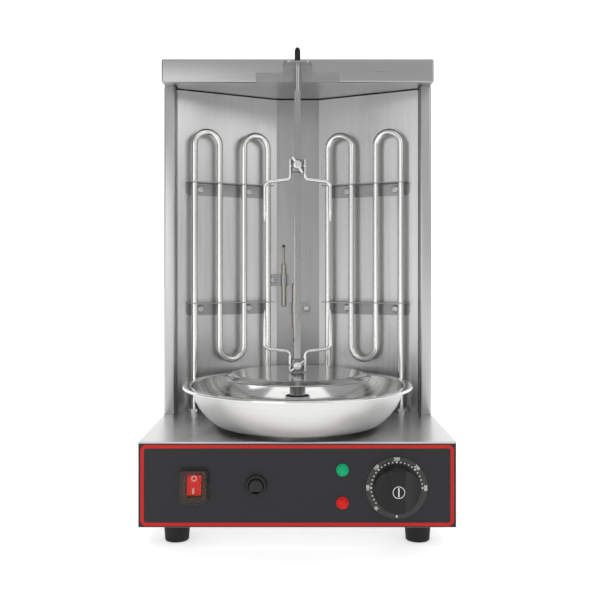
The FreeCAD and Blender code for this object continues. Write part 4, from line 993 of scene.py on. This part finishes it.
class GRILL_OT_walls(bpy.types.Operator):
    """Makes the tower's side walls: one folded sheet each, from rear flange to front post"""
    bl_idname = "grill.walls"
    bl_label = "Side walls"

    def execute(self, context):
        """The sheet's section, a thin upright rectangle, carried along the folded plan."""
        s = sizes()
        low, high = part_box("right_side_wall")
        half = s.sheet / 2
        outside, front, rear = high.x - half, low.y + half, high.y - half
        inside = high.x - s.post_width + half
        corners = [(high.x - s.rear_flange, rear), (outside, rear), (outside, front),
                   (inside, front), (inside, low.y + s.post_return)]
        path = round_corners(corners, s.sheet_bend - half, 8)
        section = rounded_rectangle(s.sheet, high.z - low.z, 0.3 * MM, 2)
        wall = carried(path, section + (0, (low.z + high.z) / 2))
        grain = brushed_stainless("upright", "wall")
        make_piece("right_wall", [wall], grain, "root",
                   ["right_side_wall"])
        make_piece("left_wall", [mirrored(wall)], grain, "root",
                   ["left_side_wall"])
        return {"FINISHED"}


class GRILL_OT_roof(bpy.types.Operator):
    """Makes the roof: a shallow box of folded sheet, open below inside its flange"""
    bl_idname = "grill.roof"
    bl_label = "Roof cover"

    def execute(self, context):
        """Rounded rectangles stacked from the inside of the top, down the inner wall, round
        the flange's edge and up the outside; each has its own inset and height."""
        s = sizes()
        low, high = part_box("roof_cover")
        width, depth = high.x - low.x, high.y - low.y
        bend, sheet = s.sheet_bend, s.sheet
        turn = np.linspace(0, math.pi / 2, 7)
        inner = bend - sheet
        rings = quarter(sheet, high.z - sheet, inner, turn[::-1], -1)
        rings += quarter(sheet, low.z + sheet, inner, turn)
        rings += [(s.roof_flange, low.z + sheet), (s.roof_flange, low.z)]
        rings += quarter(0, low.z, bend, turn[::-1]) + quarter(0, high.z, bend, turn, -1)
        outlines = inset_outlines(width, depth, [(inset, level, max(bend - inset, 0.4 * MM))
                                                 for inset, level in rings])
        middle = centre("roof_cover")
        # The roof tone is the brushed sheet darkened as painted shade
        make_piece("roof", [moved(stacked(outlines), (middle.x, middle.y, 0))],
                   brushed_stainless("across", "roof"), "root",
                   ["roof_cover"])
        return {"FINISHED"}


def heater_legs():
    """Plan places of the right heater's four legs, outside first, and the way to the front."""
    s = sizes()
    low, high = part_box("right_heater")
    first = np.array([high.x - s.heater_tube, low.y + s.heater_tube])
    last = np.array([low.x + s.heater_tube, high.y - s.heater_tube])
    legs = first + (last - first) * np.linspace(0, 1, 4)[:, None]
    along = (last - first) / np.linalg.norm(last - first)
    forward = np.array([-along[1], along[0]])
    return legs, along, forward


class GRILL_OT_heaters(bpy.types.Operator):
    """Makes the two tubular heaters: four legs each, joined by half-round bends"""
    bl_idname = "grill.heaters"
    bl_label = "Heaters"

    def execute(self, context):
        """One path up and down the legs: each half-round bend adds a cosine along the row of legs
        and a sine in height. A circle is carried along it."""
        s = sizes()
        low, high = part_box("right_heater")
        legs, along, forward = heater_legs()
        half = np.linalg.norm(legs[1] - legs[0]) / 2
        top = high.z - s.heater_tube - half
        bottom = DECK + s.heater_bottom + s.heater_tube + half
        turn = np.linspace(0, math.pi, 25)
        path = [np.array([[*legs[0], low.z], [*legs[0], DECK]])]
        for i, (level, sign) in enumerate(((top, 1), (bottom, -1), (top, 1))):
            middle = (legs[i] + legs[i + 1]) / 2
            plan = middle - along * (half * np.cos(turn))[:, None]
            path.append(np.column_stack([plan, level + sign * half * np.sin(turn)]))
        path.append(np.array([[*legs[3], DECK], [*legs[3], low.z]]))
        bar = round_bar(np.vstack(path), s.heater_tube, (*forward, 0), 28)
        sheath = annealed_sheath()
        make_piece("heater_right", [bar], sheath, "root", ["right_heater"])
        make_piece("heater_left", [mirrored(bar)], sheath, "root",
                   ["left_heater"])
        return {"FINISHED"}


class GRILL_OT_strips(bpy.types.Operator):
    """Makes the angle strips that hold the heaters: a face and a flange with rounded ends"""
    bl_idname = "grill.strips"
    bl_label = "Heater strips"

    def execute(self, context):
        """A point runs down the L from the flange's front to the face's foot. Near the ends
        both are cut short by a quarter circle, which rounds their corners."""
        s = sizes()
        legs, along, forward = heater_legs()
        reach = (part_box("upper_strips")[1].x - legs[0][0] + forward[0] * s.heater_standoff)
        overhang = reach / -along[0]
        start = legs[0] - forward * s.heater_standoff - along * overhang
        length = np.linalg.norm(legs[3] - legs[0]) + 2 * overhang
        for node in ("upper_strips", "lower_strips"):
            low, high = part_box(node)
            height = high.z - low.z
            thick = 1.0 * MM
            depth = s.strip_depth
            corner = s.strip_corner
            near = np.concatenate([np.linspace(0, 1, 7) ** 2 * corner,
                                   np.linspace(corner, length - corner, 10)[1:-1],
                                   length - np.linspace(1, 0, 7) ** 2 * corner])
            edge = np.clip(corner - np.minimum(near, length - near), 0, None)
            cut = corner - np.sqrt(np.clip(corner ** 2 - edge ** 2, 0, None))
            bend = 1.6 * MM
            turn = np.linspace(0, math.pi / 2, 6)
            front = [np.stack([depth - cut, np.zeros_like(cut)], -1)]
            outer = [np.broadcast_to([bend * (1 - math.sin(a)), -bend * (1 - math.cos(a))],
                                     (len(near), 2)) for a in turn]
            foot = [np.stack([np.zeros_like(cut), -(height - cut)], -1),
                    np.stack([np.full_like(cut, thick), -(height - cut)], -1)]
            small = bend - thick
            inner = [np.broadcast_to([thick + small * (1 - math.sin(a)),
                                      -thick - small * (1 - math.cos(a))],
                                     (len(near), 2)) for a in turn[::-1]]
            back = [np.stack([depth - cut, np.full_like(cut, -thick)], -1)]
            loop = np.stack(front + outer + foot + inner + back, 1)
            plan = start + along * near[:, None, None] + forward * loop[..., :1]
            points = np.concatenate([plan, high.z + loop[..., 1:]], -1)
            strip = grid(points, close_columns=True, cap_rows=True)
            make_piece(node.replace("strips", "heater_strips"), both_sides([strip]),
                       cut_strip_steel(), "root", [node])
        return {"FINISHED"}


class GRILL_OT_clips(bpy.types.Operator):
    """Makes the two spring clips that hold the sensor bulbs, folded from thin strip"""
    bl_idname = "grill.clips"
    bl_label = "Bulb clips"

    def execute(self, context):
        """A thin strip's section carried along a plan that runs flat, loops round the bulb and
        runs flat again."""
        fold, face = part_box("centre_reflector")[0].xy
        along = heater_legs()[1]
        thick = 0.8 * MM
        half = thick / 2
        foot = np.array([fold, face]) + np.array([along[0], -along[1]]) * 11.5 * MM
        clips = []
        for bulb, level, start, end in (("thermostat_bulb", 271.1 * MM, foot, None),
                                        ("limit_bulb", 233.9 * MM, None, 16.5 * MM)):
            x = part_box(bulb)[0].x + 3 * MM if bulb == "thermostat_bulb" else -4.5 * MM
            wrap = 3.2 * MM + half
            front = face - 3.4 * MM - wrap
            back = face - half
            first = [(x - 7 * MM, back)] if start is None else [
                start - (0, half), (fold, back)]
            last = [(x + 7 * MM, back)] if end is None else [(end, back)]
            corners = first + [(x - wrap, back), (x - wrap, front), (x + wrap, front),
                               (x + wrap, back)] + last
            radii = [0] + [0.4 * MM] * (len(first) - 1) + [0.8 * MM, 3 * MM, 3 * MM,
                                                           0.8 * MM, 0]
            path = round_corners(corners, radii, 6)
            section = rounded_rectangle(thick, 15.5 * MM, 0.2 * MM, 1)
            clips.append(carried(path, section + (0, level)))
        make_piece("sensor_clips", clips, cut_strip_steel(), "root",
                   ["bulb_clips"])
        return {"FINISHED"}


def square_ring(half, corner, count, radius=None):
    """Points at even angles on a square with rounded corners, or on a circle if a radius is
    given, so that one can run into the other."""
    angle = np.linspace(0, 2 * math.pi, count, endpoint=False)
    ray = np.column_stack([np.cos(angle), np.sin(angle)])
    if radius is not None:
        return ray * radius
    power = 2 + 26 * (1 - corner)
    size = (np.abs(ray[:, 0]) ** power + np.abs(ray[:, 1]) ** power) ** (-1 / power)
    return ray * (half * size)[:, None]


class GRILL_OT_turntable(bpy.types.Operator):
    """Makes the turntable: a spun disc with a sloping rim, a square hole and a hub"""
    bl_idname = "grill.turntable"
    bl_label = "Turntable"

    def execute(self, context):
        """Rings from the square hole outwards over the top, round the rim and back under."""
        s = sizes()
        low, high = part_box("turntable")
        radius = (high.x - low.x) / 2
        top, bottom = high.z, low.z
        sheet = 1.5 * MM
        drop = 4.0 * MM
        flat = radius - s.disc_band
        hole = SPIT_HOLE
        count = 128
        rings = [(square_ring(hole, 0.05, count), bottom),
                 (square_ring(hole, 0.05, count), top - 0.3 * MM),
                 (square_ring(hole + 0.3 * MM, 0.1, count), top),
                 (square_ring(0, 0, count, 9 * MM), top)]
        over = round_corners([(20 * MM, top), (flat, top), (radius - 0.5 * MM, top - drop),
                              (radius - 0.5 * MM, top - drop - sheet),
                              (flat - 0.5 * MM, top - sheet), (15 * MM, top - sheet)],
                             [0, 14 * MM, 0.7 * MM, 0.7 * MM, 14 * MM, 0], 8)
        over[:, 0] += np.where(over[:, 0] > radius - 3 * MM, 0.4 * MM, 0)
        under = [(14.5 * MM, top - sheet - 0.4 * MM), (14.5 * MM, bottom + 0.4 * MM),
                 (14.1 * MM, bottom), (5.2 * MM, bottom)]
        rings += [(square_ring(0, 0, count, r), z) for r, z in [*over, *under]]
        points = np.stack([np.column_stack([ring, np.full(count, z)]) for ring, z in rings])
        disc = grid(points + ON_AXIS, close_rows=True, close_columns=True)
        polish = spun_stainless("stainless_spun_dark_polish", colours().disc, 0.14, 0.22)
        make_piece("turntable_disc", [disc], polish, "drive",
                   ["turntable"], sharp=25)
        return {"FINISHED"}


class GRILL_OT_drip_pan(bpy.types.Operator):
    """Makes the drip pan: a spun bowl with a turned-down rim and a tube in the middle"""
    bl_idname = "grill.drip_pan"
    bl_label = "Drip pan"

    def execute(self, context):
        """Profile turned round the spit: tube, floor, wall, flat rim, turned-down edge and back.

        The wall is an arc: its radius from the axis is the arc's centre plus the half chord at
        each height.
        """
        s = sizes()
        low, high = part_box("drip_pan")
        radius = high.x - AXIS.x
        floor, rim = low.z, high.z
        sheet = 1.0 * MM
        lean = math.radians(10)
        curve = s.pan_curve
        centre_r = radius - s.pan_flange - curve * math.cos(lean)
        centre_z = rim - sheet + curve * math.sin(lean)

        def wall(size, z):
            return np.column_stack([centre_r + np.sqrt(size ** 2 - (centre_z - z) ** 2), z])

        inside = wall(curve - sheet, np.linspace(floor + sheet, rim - 1.2 * MM, 26))
        outside = wall(curve, np.linspace(rim - sheet - 1.2 * MM, floor, 26))
        tube_top = DECK + s.pan_tube_top
        tube = [(s.pan_tube, floor), (s.pan_tube, tube_top - 0.3 * MM),
                (s.pan_tube + sheet / 2, tube_top),
                (s.pan_tube + sheet, tube_top - 0.3 * MM)]
        bend = [inside[-2], inside[-1] + (0.2 * MM, 1.2 * MM), (radius, rim),
                (radius, rim - s.pan_edge), (radius - sheet, rim - s.pan_edge),
                (radius - sheet, rim - sheet), outside[0] + (0.2 * MM, 1.2 * MM), outside[1]]
        flange = round_corners(bend, [0, 1.6 * MM, 1.4 * MM, 0.4 * MM, 0.4 * MM, 0.5 * MM,
                                      2.2 * MM, 0], 6)
        corner = round_corners([outside[-2], outside[-1], (s.pan_tube, floor)], 6 * MM, 5)
        foot = round_corners([(s.pan_tube + sheet, tube_top - 2 * MM),
                              (s.pan_tube + sheet, floor + sheet), inside[0]], 3 * MM, 6)
        profile = np.vstack([tube, foot[1:-1], inside[:-1], flange[1:-1], outside[1:-2],
                             corner[:-1]])
        pan = turned(profile, ON_AXIS, segments=192)
        polish = spun_stainless("stainless_spun_polished", colours().polished, 0.1, 0.18,
                                0.36)
        make_piece("spun_drip_pan", [pan], polish, "drip_pan",
                   ["drip_pan"])
        return {"FINISHED"}


class GRILL_OT_spit(bpy.types.Operator):
    """Makes the spit: a square bar that turns round at the top and ends in a point"""
    bl_idname = "grill.spit"
    bl_label = "Spit"

    def execute(self, context):
        """Rings up the bar: rounded squares, then circles for the journal and the point."""
        low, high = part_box("spit")
        half = (high.x - low.x) / 2
        count = 48
        shoulder = DECK + 378 * MM
        journal = 3.1 * MM
        mouth = DECK + 411.5 * MM
        rings = [(square_ring(half - 0.6 * MM, 0.1, count), low.z),
                 (square_ring(half, 0.1, count), low.z + 0.8 * MM),
                 (square_ring(half, 0.1, count), shoulder - 0.8 * MM),
                 (square_ring(half - 0.3 * MM, 0.35, count), shoulder - 0.2 * MM),
                 (square_ring(0, 0, count, journal), shoulder),
                 (square_ring(0, 0, count, journal), mouth + 2 * MM)]
        part = moved(stacked(rings), ON_AXIS)
        make_piece("spit_bar", [part], drawn_bar_steel(), "spit", ["spit"])
        turn = np.linspace(0, math.pi / 2, 8)
        dome = [(journal * 1.06 * math.cos(a), high.z - 5 * MM * (1 - math.sin(a)))
                for a in turn[:-1]]
        tip = turned([(0, mouth), (journal, mouth), (journal * 1.06, mouth + 0.8 * MM), *dome,
                      (0, high.z)], ON_AXIS, closed=False, segments=32)
        make_piece("spit_tip", [tip], blackened_steel(), "spit", ["spit"])
        return {"FINISHED"}


class GRILL_OT_forks(bpy.types.Operator):
    """Makes both forks: bent wire prongs on each side of a clamp block"""
    bl_idname = "grill.forks"
    bl_label = "Forks"

    def execute(self, context):
        """A prong's wire runs up the block's side, out and on to its tip. Its radius shrinks
        along the last stretch, which makes the point."""
        s = sizes()
        steel = drawn_bar_steel("wire")
        for name in ("upper", "lower"):
            low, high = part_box(name + "_prongs")
            block_low, block_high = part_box(name + "_clamp")
            sign = 1 if name == "lower" else -1
            x0 = block_high.x + s.prong_wire
            x1 = high.x - s.prong_wire
            tip = high.z if sign > 0 else low.z
            weld = block_low.z if sign > 0 else block_high.z
            arm = tip - sign * s.prong_length
            slope = sign * s.arm_rise / 2
            corners = [(x0, AXIS.y, weld), (x0, AXIS.y, arm - slope),
                       (x1, AXIS.y, arm + slope), (x1, AXIS.y, tip)]
            path = round_corners(corners, s.prong_bend, 8)
            taper = np.linspace(1, 0, 9)
            point = np.column_stack([np.full(9, x1), np.full(9, AXIS.y),
                                     tip - sign * s.prong_point * taper])
            path = np.vstack([path[:-1], point])
            radius = np.full(len(path), s.prong_wire)
            radius[-9:] = s.prong_wire * (0.16 + 0.84 * taper ** 0.8)
            wire = round_bar(path, radius, (0, 1, 0), 18)
            bead = turned([(0, -1.4 * MM), (2.4 * MM, -0.9 * MM), (2.9 * MM, 0),
                           (2.4 * MM, 0.9 * MM), (0, 1.4 * MM)],
                          (x0 - 0.6 * MM, AXIS.y, (block_low.z + block_high.z) / 2),
                          closed=False, segments=20)
            make_piece(name + "_fork_prongs", both_sides([wire, bead]), steel,
                       name + "_fork", [name + "_prongs"])
            self.make_block(name, block_low, block_high, drawn_bar_steel("clamp"))
        return {"FINISHED"}

    def make_block(self, name, low, high, steel):
        """Rounded block with a square hole: rings from the hole over each edge to outside."""
        width, depth = high.x - low.x, high.y - low.y
        edge = 0.7 * MM
        hole = 2 * SPIT_HOLE
        rings = [(hole, hole, 0.3 * MM, low.z), (hole, hole, 0.3 * MM, high.z),
                 (width - 2 * edge, depth - 2 * edge, 1.2 * MM, high.z),
                 (width - 0.5 * edge, depth - 0.5 * edge, 1.5 * MM, high.z - 0.25 * edge),
                 (width, depth, 1.6 * MM, high.z - edge), (width, depth, 1.6 * MM, low.z + edge),
                 (width - 0.5 * edge, depth - 0.5 * edge, 1.5 * MM, low.z + 0.25 * edge),
                 (width - 2 * edge, depth - 2 * edge, 1.2 * MM, low.z)]
        points = np.stack([np.column_stack([rounded_rectangle(w, d, r), np.full(28, z)])
                           for w, d, r, z in rings])
        block = grid(points + ON_AXIS, close_rows=True,
                     close_columns=True)
        make_piece(name + "_clamp_block", [block], steel, name + "_fork",
                   [name + "_clamp"])


class GRILL_OT_clamp_screws(bpy.types.Operator):
    """Makes the two clamp screws: a turned head with a cross bar through it"""
    bl_idname = "grill.clamp_screws"
    bl_label = "Clamp screws"

    def execute(self, context):
        """A rounded profile turned for the head, a bar whose radius follows a sine along its
        length for the thread, and a round-ended bar across the head."""
        for name, degrees in (("upper", -58.0), ("lower", 38.0)):
            low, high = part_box(name + "_clamp_screw")
            z = centre(name + "_clamp").z
            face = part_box(name + "_clamp")[0].y
            back = face - 1.5 * MM
            front = low.y
            length = back - front
            profile = round_corners([(0, 0), (4.5 * MM, 0), (4.5 * MM, length), (0, length)],
                                    [0, 0.5 * MM, 1.4 * MM, 0], 6)
            head = facing_front(turned(profile, closed=False, segments=48), (AXIS.x, back, z))
            depth = high.y - back
            # the thread is drawn as rings 0.8 mm apart, an M5 screw's pitch
            run = np.linspace(0, depth, 64)
            thread = 2.3 * MM + 0.16 * MM * np.sin(run / (0.8 * MM) * 2 * math.pi)
            stem = round_bar(np.column_stack([np.full(64, AXIS.x), back + run,
                                              np.full(64, z)]), thread, (0, 0, 1), 24)
            angle = math.radians(degrees)
            reach = np.array([math.cos(angle), 0, math.sin(angle)]) * 11 * MM
            middle = np.array([AXIS.x, back - length / 2, z])
            bar = round_ended_bar(middle - reach, middle + reach, 1.5 * MM, (0, 1, 0))
            make_piece(name + "_thumb_screw", [head, stem, bar], drawn_bar_steel("wire"),
                       name + "_screw", [name + "_clamp_screw"])
        return {"FINISHED"}


class GRILL_OT_gland(bpy.types.Operator):
    """Makes the cable gland in the back: hexagon, ribbed dome and through bore"""
    bl_idname = "grill.gland"
    bl_label = "Cable gland"

    def execute(self, context):
        """Rings along the bore's axis. A ring's radius is a number, or it changes with the
        angle: the hexagon's is half its width over a cosine, the dome's a circle less ribs."""
        low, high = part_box("cable_gland")
        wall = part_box("base_housing")[1].y
        middle = centre("cable_gland")
        bore = 3.6 * MM
        reach = high.y - wall
        count = 96
        angle = np.linspace(0, 2 * math.pi, count, endpoint=False)
        ray = np.column_stack([np.cos(angle), np.sin(angle)])
        across = 11 * MM * math.cos(math.pi / 6)
        sector = (angle + math.pi / 6) % (math.pi / 3) - math.pi / 6
        hexagon = np.minimum(across / np.cos(sector), 10.9 * MM)
        ribs = 9.2 * MM - 0.45 * MM * (0.5 + 0.5 * np.cos(angle * 16)) ** 2
        rear = low.y - wall
        neck = 8 * MM
        rings = [(bore, rear), (bore, reach - 0.8 * MM), (bore + 0.8 * MM, reach),
                 (6.6 * MM, reach), (ribs * 0.9, reach - 0.9 * MM), (ribs, reach - 2.6 * MM),
                 (ribs, 4.2 * MM), (hexagon * 0.94, 4.0 * MM), (hexagon, 3.6 * MM),
                 (hexagon, 0.0), (neck, 0.0), (neck, -1.2 * MM), (hexagon * 0.98, -1.2 * MM),
                 (hexagon * 0.98, -5.2 * MM), (neck, -5.2 * MM), (neck, rear)]
        points = np.stack([np.column_stack([ray * np.broadcast_to(size, count)[:, None],
                                            np.full(count, level)]) for size, level in rings])
        part = grid(points, close_rows=True, close_columns=True)
        nylon = moulded_plastic("nylon_moulded_black", "#262628", 0.36, 0.5)
        make_piece("inlet_gland", [facing_back(part, (middle.x, wall, middle.z))], nylon,
                   "root", ["cable_gland"])
        return {"FINISHED"}


class GRILL_OT_stage(bpy.types.Operator):
    """Sets the pale floor and backdrop, the soft lights and the camera"""
    bl_idname = "grill.stage"
    bl_label = "Stage"

    def execute(self, context):
        scene = context.scene
        stage = scene.grill_stage
        self.make_floor()
        scene.world = self.make_surround(stage)
        scene.view_settings.view_transform = "Standard"
        self.add_panel("key_left", (-1.0, -2.0, 0.5), 1.2, stage.panel_light * 1.2)
        self.add_panel("fill_right", (1.5, -1.2, 1.3), 1.2, stage.panel_light)
        self.add_panel("top", (0.0, -0.4, 2.0), 1.8, stage.panel_light * 1.6)
        camera = bpy.data.cameras.new("camera")
        camera.lens = stage.lens
        camera.sensor_width = 36
        camera.shift_x = stage.shift_x
        camera.shift_y = stage.shift_y
        camera.clip_start = 0.01
        holder = bpy.data.objects.new("camera", camera)
        holder.location = stage.camera
        holder.rotation_euler = (math.pi / 2, 0, 0)
        scene.collection.objects.link(holder)
        scene.camera = holder
        return {"FINISHED"}

    def make_surround(self, stage):
        """A white tent that is brightest in front of the grill and dimmer at the sides."""
        world = bpy.data.worlds.new("white_surround")
        world.use_nodes = True
        tree = world.node_tree
        split = add(tree, "SeparateXYZ",
                    links={"Vector": add(tree, "TexCoord").outputs["Generated"]})
        ahead = add(tree, "MapRange", {"From Min": -1.0, "From Max": -0.2,
                                       "To Min": stage.front_light, "To Max": stage.soft_light},
                    {"Value": split.outputs["Y"]}, interpolation_type="SMOOTHSTEP")
        tree.links.new(ahead.outputs[0], tree.nodes["Background"].inputs["Strength"])
        tree.nodes["Background"].inputs["Color"].default_value = (1, 1, 1, 1)
        return world

    def make_floor(self):
        """Floor lit from within, whose back bends up as a quarter circle into the backdrop."""
        profile = round_corners([(-6, 0), (3.0, 0), (3.0, 5.0)], 1.2, 24)
        across = np.linspace(-6, 6, 2)
        points = np.stack([np.stack([np.full(2, y), across, np.full(2, z)], -1)
                           for y, z in profile])[..., [1, 0, 2]]
        mesh = bpy.data.meshes.new("floor")
        vertices, faces = grid(points)
        mesh.from_pydata(vertices.tolist(), [], [face[::-1] for face in faces])
        mesh.polygons.foreach_set("use_smooth", np.ones(len(mesh.polygons), bool))
        colour = colours().floor
        glow = bpy.context.scene.grill_stage.floor_glow
        material, tree, shader = new_material("acrylic_backlit_white", colour, 0.9,
                                              Emission_Color=(1, 1, 1, 1),
                                              Emission_Strength=glow)
        if tree:
            vary(tree, shader, streaks(tree, (1 / 0.4,) * 3, 2.0), colour, 0.01, 0.85, 0.95)
        mesh.materials.append(material)
        floor = bpy.data.objects.new("floor", mesh)
        bpy.context.scene.collection.objects.link(floor)

    def add_panel(self, name, place, size, power):
        """Square soft light aimed at the grill's middle."""
        lamp = bpy.data.lights.new(name, "AREA")
        lamp.energy = power
        lamp.size = size
        holder = bpy.data.objects.new(name, lamp)
        holder.location = place
        aim = Vector((0, 0, 0.27)) - Vector(place)
        holder.rotation_euler = aim.to_track_quat("-Z", "Y").to_euler()
        bpy.context.scene.collection.objects.link(holder)


OPERATORS = (
    GRILL_OT_packed_nodes, GRILL_OT_border, GRILL_OT_power_switch, GRILL_OT_reset,
    GRILL_OT_lamps, GRILL_OT_dial, GRILL_OT_knob, GRILL_OT_feet, GRILL_OT_walls, GRILL_OT_roof,
    GRILL_OT_heaters, GRILL_OT_strips, GRILL_OT_clips, GRILL_OT_turntable, GRILL_OT_drip_pan,
    GRILL_OT_spit, GRILL_OT_forks, GRILL_OT_clamp_screws, GRILL_OT_gland, GRILL_OT_stage,
)


class GRILL_PT_panel(bpy.types.Panel):
    """Lists the grill's sizes, colours, stage settings and operators"""
    bl_idname = "GRILL_PT_panel"
    bl_label = "Rotisserie grill"
    bl_space_type = "VIEW_3D"
    bl_region_type = "UI"
    bl_category = "Grill"

    def draw(self, context):
        layout = self.layout
        scene = context.scene
        for group in (scene.grill_sizes, scene.grill_colours, scene.grill_stage):
            box = layout.box()
            for name in group.bl_rna.properties.keys():
                if name not in ("rna_type", "name"):
                    box.prop(group, name)
        for operator in OPERATORS:
            layout.operator(operator.bl_idname)


CLASSES = (GrillSizes, GrillColours, GrillStage, *OPERATORS, GRILL_PT_panel)


def register():
    for item in CLASSES:
        bpy.utils.register_class(item)
    bpy.types.Scene.grill_sizes = PointerProperty(type=GrillSizes)
    bpy.types.Scene.grill_colours = PointerProperty(type=GrillColours)
    bpy.types.Scene.grill_stage = PointerProperty(type=GrillStage)


def unregister():
    for name in ("grill_sizes", "grill_colours", "grill_stage"):
        delattr(bpy.types.Scene, name)
    for item in reversed(CLASSES):
        bpy.utils.unregister_class(item)


def main():
    """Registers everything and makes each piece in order."""
    register()
    for operator in OPERATORS:
        group, name = operator.bl_idname.split(".")
        getattr(getattr(bpy.ops, group), name)()


if __name__ == "__main__":
    main()
